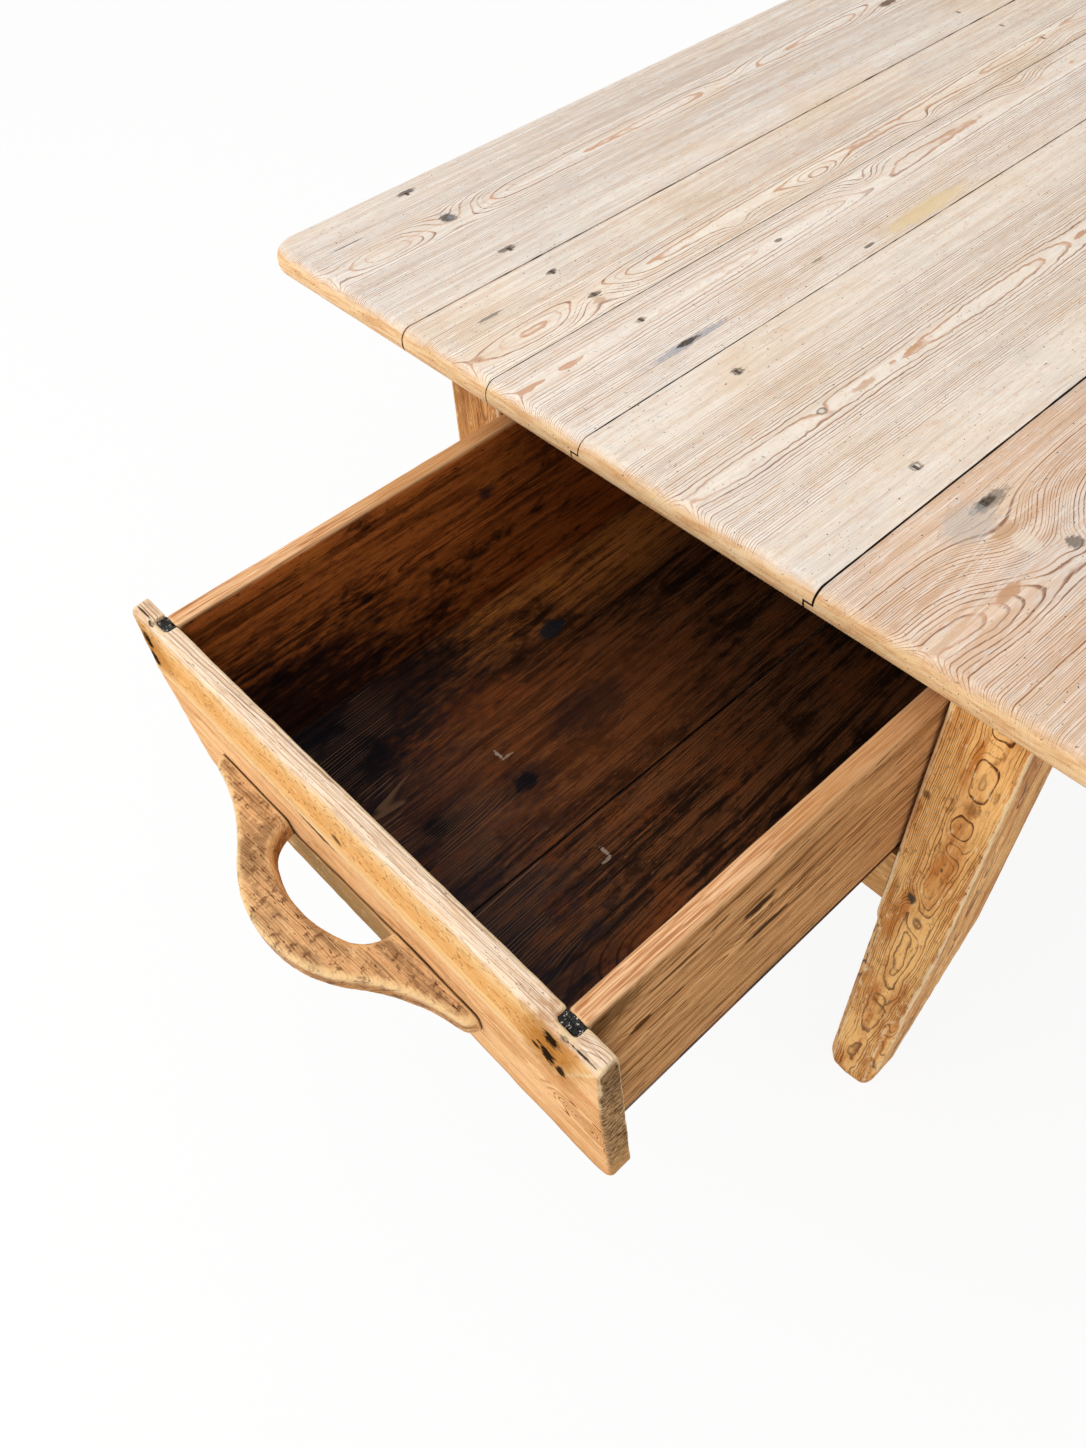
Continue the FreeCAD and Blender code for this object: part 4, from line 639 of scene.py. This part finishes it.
# Drawer sides: one plank each. Outside they are tan, with dark streaks from rubbing on the aprons,
# their top edges are bare and pale, and inside they have the stain.
INNER_FACE, TOP_EDGE = 0.2475, 0.708
for side, name in ((1, "right"), (-1, "left")):
    plank, tree, place = begin(f"drawer pine, {name} side")
    heart, turn = (side * 0.225, -0.75, 0.618), (ALONG_Y + 0.02, 0, 0)
    log = add(tree, "Mapping", {"Vector": place, "Location": heart, "Rotation": turn},
              vector_type="TEXTURE")
    lifts = [((0, -0.946, 0.622), (0, 0.030, 0.012), 0.006),
             ((0, -1.083, 0.633), (0, 0.022, 0.010), 0.005),
             ((0, -0.781, 0.644), (0, 0.022, 0.012), 0.006)]
    late = rings(tree, log, place, 0.0015, ((0.06, 0.50, 0.004), (0.02, 0.10, 0.0009)), lifts)
    fibres = cloud(tree, log, (0.0018, 0.0018, 0.05), 4, 0.7)
    rubbed = cloud(tree, log, (0.009, 0.009, 0.22), 4, 0.65)
    colour = coat(tree, linear("#dfa974"), "#c18b5a", rubbed, 0.40, 0.56)
    colour = coat(tree, colour, "#704a28", rubbed, 0.56, 0.66, 0.8)
    colour = coat(tree, colour, "#e6b87c", fibres, 0.50, 0.66, 0.5)
    colour = coat(tree, colour, "#8a5d33", fibres, 0.46, 0.30, 0.5)
    colour = coat(tree, colour, "#754a27", late, 0.1, 0.9, 0.75)
    streaks = cloud(tree, log, (0.003, 0.003, 0.045), 3, 0.6)
    colour = coat(tree, colour, "#332114", streaks, 0.58, 0.66, 0.85)
    colour = spots(tree, log, place, colour, [
        ((0, -1.125, 0.696), (0, 0.060, 0.024), "#4f3112", 0.7),
        ((0, -1.135, 0.560), (0, 0.036, 0.170), "#5b3813", 0.6)])
    colour = spots(tree, log, place, colour, [
        ((0, -0.953, 0.647), (0, 0.022, 0.007), "#33231a", 0.9),
        ((0, -0.940, 0.599), (0, 0.030, 0.005), "#33231a", 0.9),
        ((0, -1.083, 0.633), (0, 0.014, 0.006), "#4a2b12", 0.9),
        ((0, -1.040, 0.672), (0, 0.040, 0.003), "#4a2b12", 0.8)], 0.0040, 0.7, 1.1)
    # The stain inside, with painted light making it lighter and redder on the left.
    shades = ("#7c4220", "#4b2711", "#7c4220") if side > 0 else ("#cb7033", "#7a401b", "#c87230")
    inside = soiled(tree, log, place, late, shades)
    inside = spots(tree, log, place, inside, [
        ((0, -1.120, 0.49), (0, 0.330, 0.170), BLUE_BLACK, 0.9),
        ((0, -0.781, 0.644), (0, 0.014, 0.010), "#20242a", 0.85)], 0.006)
    out = add(tree, "Math", {0: add(tree, "SeparateXYZ", {"Vector": place}, out=0), 1: side},
              operation="MULTIPLY")
    colour = coat(tree, colour, inside, out, INNER_FACE + 0.0045, INNER_FACE + 0.0010)
    # The bare top edge, with painted shade making it browner towards the table.
    level = add(tree, "SeparateXYZ", {"Vector": place}, out=2)
    ragged = add(tree, "Math", {0: rubbed, 1: 0.006, 2: level}, operation="MULTIPLY_ADD")
    lines = cloud(tree, log, (0.0014, 0.0014, 0.6), 2, 0.7)
    bare = coat(tree, linear("#f3c598"), "#dfa26e", fibres, 0.40, 0.65)
    bare = coat(tree, bare, "#a86436", lines, 0.50, 0.60, 0.75)
    bare = coat(tree, bare, "#a5673a", late, 0.1, 0.9, 0.35)
    along = add(tree, "SeparateXYZ", {"Vector": place}, out=1)
    # Painted shade from the table top.
    bare = coat(tree, bare, "#bd8550", along, -1.02, -0.86, 0.65)
    colour = coat(tree, colour, bare, ragged, TOP_EDGE - 0.0010, TOP_EDGE + 0.0020)
    # The pale edges are partly wear and partly a painted highlight.
    edge = add(tree, "Attribute", {}, out="Fac", attribute_name="rubbed")
    colour = coat(tree, colour, "#f0c898", edge, 0.10, 0.40, 0.6)
    height = add(tree, "Math", {0: fibres, 1: 0.5, 2: late}, operation="MULTIPLY_ADD")
    waxed(tree, colour, 0.48, height, 0.00030, shine=0)
    wear(f"drawer_side_{name}", plank, grid=0.0025, rubs=2)

# Drawer front: a plank that leans in at its foot. Hands have rubbed its brow orange and pale, and
# painted highlights lie on its ridge and by its top edge. Its face is tan below that, with painted
# shadow under the handle, its ends are grey end grain, and its back has the stain. Its material
# and the places below are laid out from the top edge of its back.
LEAN, FRONT_HEAD = math.radians(3.5), (0, -1.1332, 0.710)
FRONT_END, FRONT_FACE, HANDLE_MIDDLE, HANDLE_TOP = 0.297, -0.023, -0.034, -0.144
front, tree, place = begin("drawer pine, front")
flat = add(tree, "Mapping", {"Vector": place, "Location": FRONT_HEAD, "Rotation": (LEAN, 0, 0)},
           vector_type="TEXTURE")
log = add(tree, "Mapping", {"Vector": flat, "Location": (0, 0.110, -0.130),
                            "Rotation": (0, math.pi / 2 + 0.01, 0.01)}, vector_type="TEXTURE")
late = rings(tree, log, flat, 0.0016, ((0.08, 0.30, 0.004), (0.02, 0.06, 0.0006)),
             [((0.275, 0, -0.139), (0.028, 0, 0.014), 0.010),
              ((0.292, -0.005, 0), (0.020, 0.020, 0.02), 0.006)], (0.45, 0.86))
fibres = cloud(tree, log, (0.0018, 0.0018, 0.04), 4, 0.7)
tone = cloud(tree, log, (0.03, 0.03, 0.16), 4, 0.6)
mottle = cloud(tree, flat, (0.010, 0.010, 0.007), 4, 0.7)
nicks = cloud(tree, log, (0.0016, 0.0016, 0.005), 2, 0.6)
# How far a point lies to the right of the middle of that edge, behind it and above it.
side = add(tree, "SeparateXYZ", {"Vector": flat}, out=0)
depth = add(tree, "SeparateXYZ", {"Vector": flat}, out=1)
level = add(tree, "SeparateXYZ", {"Vector": flat}, out=2)
# The brow ends at a ridge, which runs up to the corner at the right end.
RIDGE, RIDGE_TURNS = -0.074, 0.250
beyond = add(tree, "Math", {0: side, 1: RIDGE_TURNS}, operation="SUBTRACT")
beyond = add(tree, "Math", {0: beyond, 1: 0}, operation="MAXIMUM")
brow = add(tree, "Math", {0: beyond, 1: -1.7, 2: level}, operation="MULTIPLY_ADD")
brow = add(tree, "Math", {0: mottle, 1: 0.010, 2: brow}, operation="MULTIPLY_ADD")
colour = coat(tree, linear("#f5c38e"), "#dfa46d", tone, 0.38, 0.62)
colour = coat(tree, colour, "#f8c98a", brow, RIDGE - 0.004, RIDGE + 0.004, 0.9)
colour = coat(tree, colour, "#e9a558", brow, RIDGE + 0.008, RIDGE + 0.026, 0.65)
# The pale band towards the top edge is partly a painted highlight on the rounded arris, and the
# pale line at the ridge is a painted highlight.
colour = coat(tree, colour, "#f6cd92", brow, RIDGE + 0.044, RIDGE + 0.068, 0.85)
colour = coat(tree, colour, "#fadcab", apart(tree, brow, RIDGE), 0.0055, 0.0010, 0.75)
# A painted shadow of the handle darkens the face under it.
handle_shadow = away_from(tree, flat, (HANDLE_MIDDLE, 0, -0.240), (0.150, 0, 0.085))
handle_shadow = add(tree, "Math", {0: tone, 1: 0.5, 2: handle_shadow}, operation="MULTIPLY_ADD")
colour = coat(tree, colour, "#97794e", handle_shadow, 1.30, 0.98, 0.85)
# Its grain is faint, but for the figure round the knot at the right end.
colour = coat(tree, colour, "#f8dcae", fibres, 0.52, 0.70, 0.45)
colour = coat(tree, colour, "#b97c3e", fibres, 0.46, 0.30, 0.45)
colour = coat(tree, colour, "#f8dba9", mottle, 0.57, 0.70, 0.6)
colour = coat(tree, colour, "#ae7440", mottle, 0.43, 0.31, 0.5)
colour = coat(tree, colour, "#985c27", late, 0.1, 0.9, 0.40)
figure = away_from(tree, flat, (0.276, 0, -0.140), (0.03, 0, 0.03))
figure = add(tree, "MapRange", {0: figure, 1: 1.6, 2: 0.8})
figure = add(tree, "Math", {0: late, 1: figure}, operation="MULTIPLY")
colour = coat(tree, colour, "#8a4f1f", figure, 0.1, 0.7, 0.9)
# The brow's finish is crazed down to this level. Nicks, a browner foot and pale rubs follow.
CRAZED = -0.055
crazed = apart(tree, cloud(tree, flat, (0.016, 0.016, 0.008), 1), 0.5)
below = add(tree, "Math", {0: CRAZED, 1: brow}, operation="SUBTRACT")
below = add(tree, "Math", {0: below, 1: 0}, operation="MAXIMUM")
crazed = add(tree, "Math", {0: below, 1: 5, 2: crazed}, operation="MULTIPLY_ADD")
colour = coat(tree, colour, "#8a5424", crazed, 0.024, 0.008, 0.6)
colour = coat(tree, colour, "#5a3416", nicks, 0.74, 0.79, 0.85)
colour = coat(tree, colour, "#9c6a38", level, -0.225, -0.243, 0.6)
colour = coat(tree, colour, "#f3cf96", tone, 0.62, 0.70, 0.5)
# The top edge is bare and pale, and its lines fade towards its front.
lines = worn_thin(tree, late, depth, -0.007, -0.017, 0.45)
head = coat(tree, linear("#f9e4cc"), "#ecc9a6", fibres, 0.40, 0.62)
thin = cloud(tree, log, (0.0010, 0.0010, 0.4), 2, 0.7)
head = coat(tree, head, "#7d5236", thin, 0.52, 0.62, 0.55)
head = coat(tree, head, "#8a5c3a", lines, 0.1, 0.9, 0.6)
head = coat(tree, head, "#4f2b11", nicks, 0.66, 0.72, 0.7)
ragged = add(tree, "Math", {0: mottle, 1: 0.012, 2: level}, operation="MULTIPLY_ADD")
colour = coat(tree, colour, head, ragged, -0.0030, 0.0045)
# Rust has spread from the nails, and two dark flaws show.
colour = spots(tree, log, flat, colour, [
    ((0.250, 0, -0.022), (0.034, 0, 0.032), "#ad6c26", 0.65),
    ((0.243, 0, -0.058), (0.038, 0, 0.040), "#ad6c26", 0.65),
    ((-0.284, 0, -0.040), (0.040, 0, 0.044), "#ad6c26", 0.6),
    ((-0.044, 0, -0.087), (0.030, 0, 0.0050), "#3d2613", 0.9),
    ((-0.006, 0, -0.056), (0.009, 0, 0.007), "#3d2613", 0.8)], 0.0030)
# A painted shadow line runs across the face between the roots of the handle, below its upper face.
dark_line = add(tree, "Math", {0: side, 1: -0.10, 2: level}, operation="MULTIPLY_ADD")
dark_line = apart(tree, dark_line, HANDLE_TOP - 0.014)
dark_line = add(tree, "MapRange", {0: dark_line, 1: 0.009, 2: 0.002}, interpolation_type="SMOOTHSTEP")
near = away_from(tree, flat, (HANDLE_MIDDLE, 0, 0), (0.12, 0, 0))
dark_line = worn_thin(tree, dark_line, near, 0.85, 1.25, 0)
colour = coat(tree, colour, "#34261a", dark_line, 0, 1, 0.8)
# Round the nails the wood is charred, and cracks run from them to the ends.
CHAR = "#17100b"
colour = spots(tree, log, flat, colour, [
    ((0.250, 0, -0.020), (0.014, 0, 0.021), CHAR, 0.97),
    ((0.244, 0, -0.056), (0.015, 0, 0.024), CHAR, 0.97),
    ((0.256, 0, -0.064), (0.010, 0, 0.012), CHAR, 0.95),
    ((0.232, 0, -0.058), (0.008, 0, 0.008), CHAR, 0.9),
    ((0.236, 0, -0.048), (0.005, 0, 0.006), CHAR, 0.9),
    ((-0.284, 0, -0.032), (0.014, 0, 0.020), CHAR, 0.95),
    ((-0.288, 0, -0.058), (0.015, 0, 0.020), CHAR, 0.95),
    ((0.262, -0.0170, 0), (0.007, 0.004, 0.010), CHAR, 0.95),
    ((-0.266, -0.0150, 0), (0.007, 0.004, 0.010), CHAR, 0.95)], 0.0025, 0.4, 0.65)
for spot in ((0.281, -0.0161, 0), (-0.283, -0.0120, 0)):
    crack = away_from(tree, flat, spot, (0.016, 0.0009, 0.010))
    crack = add(tree, "Math", {0: mottle, 1: 1.2, 2: crack}, operation="MULTIPLY_ADD")
    colour = coat(tree, colour, "#2e1c10", crack, 1.7, 1.3, 0.95)
# The stain of its back, up to the top edge.
inside = soiled(tree, log, flat, late, ("#7c4220", "#4b2711", "#7c4220"))
behind = add(tree, "MapRange", {0: depth, 1: -0.0035, 2: -0.0010},
             interpolation_type="SMOOTHSTEP")
under = add(tree, "MapRange", {0: level, 1: -0.002, 2: -0.006}, interpolation_type="SMOOTHSTEP")
behind = add(tree, "Math", {0: behind, 1: under}, operation="MULTIPLY")
colour = coat(tree, colour, inside, behind, 0, 1)
# The sawn end grain of both ends, and last the rubbed edges, pale from wear and from a painted
# highlight.
sawn = cloud(tree, flat, (0.004, 0.0060, 0.0030), 5, 0.8)
teeth = cloud(tree, flat, (0.01, 0.014, 0.0014), 3)
ends = coat(tree, linear("#bf9569"), "#3c2b1c", sawn, 0.46, 0.62, 0.9)
ends = coat(tree, ends, "#ead0ac", sawn, 0.44, 0.34, 0.9)
ends = coat(tree, ends, "#3f2a17", teeth, 0.52, 0.60, 0.65)
ends = coat(tree, ends, "#4a3626", level, -0.075, -0.030, 0.35)
ends = coat(tree, ends, "#cf9d66", level, -0.150, -0.225, 0.6)
colour = coat(tree, colour, ends, apart(tree, side, 0), FRONT_END - 0.0032, FRONT_END - 0.0008)
# Pale edges: wear, and a painted highlight.
edge = add(tree, "Attribute", {}, out="Fac", attribute_name="rubbed")
edge = add(tree, "Math", {0: mottle, 1: 0.6, 2: edge}, operation="MULTIPLY_ADD")
colour = coat(tree, colour, "#f9dcae", edge, 0.46, 0.68, 0.7)
height = add(tree, "Math", {0: fibres, 1: 0.5, 2: late}, operation="MULTIPLY_ADD")
waxed(tree, colour, 0.40, height, 0.00028, shine=0)
upright = Matrix.Translation(FRONT_HEAD) @ Matrix.Rotation(-LEAN, 4, "X")
upright = upright @ Matrix.Translation(FRONT_HEAD).inverted()
wear("drawer_front", front, grid=0.0020, dents=0.0012, lumps=0.025, thin=0.4,
     upright=upright)

# Black pitch, poured hot into the two broken housings at the head of the drawer front. It set
# lumpy and glossy, and splinters and dust stick in it; their pale specks are also its painted
# glints.
pitch, tree, place = begin("black pitch")
lumps = cloud(tree, place, (0.005, 0.005, 0.005), 4, 0.6)
splinters_and_glints = cloud(tree, place, (0.0022, 0.0050, 0.0022), 3, 0.7)
# Pale specks: splinters and dust, and painted glints.
colour = coat(tree, linear("#080605"), "#e9e2d8", splinters_and_glints, 0.60, 0.67, 0.95)
relief = add(tree, "Bump", {"Height": lumps, "Distance": 0.0030})
feeds = {"Base Color": colour, "Roughness": 0.16, "Specular IOR Level": 0.3, "Normal": relief}
add(tree, "OutputMaterial", {"Surface": add(tree, "BsdfPrincipled", feeds)})
wear("housing_fills", pitch, grid=0.0008, rubs=2, dents=0.0060, lumps=0.007, thin=1.0)

# The handle is one carved plate, honey brown, with grey wear on its upper face and pale edges,
# rubbed and partly a painted highlight. Two dowels hold it on the front.
grip, tree, place = begin("handle pine")
flat = add(tree, "Mapping", {"Vector": place, "Location": FRONT_HEAD, "Rotation": (LEAN, 0, 0)},
           vector_type="TEXTURE")
log = add(tree, "Mapping", {"Vector": place, "Location": (0, -1.09, 0.50),
                            "Rotation": (0, math.pi / 2 + 0.02, 0.03)}, vector_type="TEXTURE")
late = rings(tree, log, place, 0.0021, ((0.06, 0.20, 0.006), (0.02, 0.06, 0.0014)))
fibres = cloud(tree, log, (0.0016, 0.0016, 0.025), 4, 0.7)
tone = cloud(tree, log, (0.016, 0.016, 0.07), 4, 0.65)
depth = add(tree, "SeparateXYZ", {"Vector": flat}, out=1)
level = add(tree, "SeparateXYZ", {"Vector": flat}, out=2)
# Brown below, a pale rim that is partly a painted highlight, and the grey brown upper face.
rim = add(tree, "Math", {0: tone, 1: 0.003, 2: level}, operation="MULTIPLY_ADD")
colour = coat(tree, linear("#cf955a"), "#a87340", tone, 0.36, 0.60)
# The pale rim: partly a painted highlight.
colour = coat(tree, colour, "#f0ca98", rim, HANDLE_TOP - 0.010, HANDLE_TOP - 0.004, 0.8)
upper = coat(tree, linear("#e0b07d"), "#96704c", tone, 0.42, 0.64)
colour = coat(tree, colour, upper, rim, HANDLE_TOP - 0.0008, HANDLE_TOP + 0.0008, 0.9)
colour = coat(tree, colour, "#f3d5a9", fibres, 0.52, 0.70, 0.35)
colour = coat(tree, colour, "#9a6f46", fibres, 0.46, 0.30, 0.35)
colour = coat(tree, colour, "#6d4220", late, 0.1, 0.9, 0.6)
# Scars, dashes, rubbed edges with a painted highlight, and painted shade where it meets the front.
scars = cloud(tree, place, (0.012, 0.014, 0.012), 5, 0.72)
colour = coat(tree, colour, "#6f4a33", scars, 0.53, 0.64, 0.8)
colour = coat(tree, colour, "#f0cb98", scars, 0.44, 0.34, 0.6)
dashes = cloud(tree, log, (0.0022, 0.0022, 0.012), 2, 0.6)
colour = coat(tree, colour, "#3c2817", dashes, 0.63, 0.69, 0.85)
# Pale edges: wear, and a painted highlight.
edge = add(tree, "Attribute", {}, out="Fac", attribute_name="rubbed")
edge = add(tree, "Math", {0: scars, 1: -0.25, 2: edge}, operation="MULTIPLY_ADD")
colour = coat(tree, colour, "#f4cf97", edge, -0.08, 0.08, 0.8)
# Painted shade along the contact with the front face.
colour = coat(tree, colour, "#2c1a0e", depth, FRONT_FACE - 0.0032, FRONT_FACE - 0.0010, 0.85)
height = add(tree, "Math", {0: fibres, 1: 0.5, 2: late}, operation="MULTIPLY_ADD")
waxed(tree, colour, 0.40, height, 0.00025, shine=0.02)
wear("drawer_handle", grip, grid=0.0018, dents=0.0010, lumps=0.02)
cover(grip, "handle_dowels")


bpy.context.scene.view_settings.view_transform = "Standard"
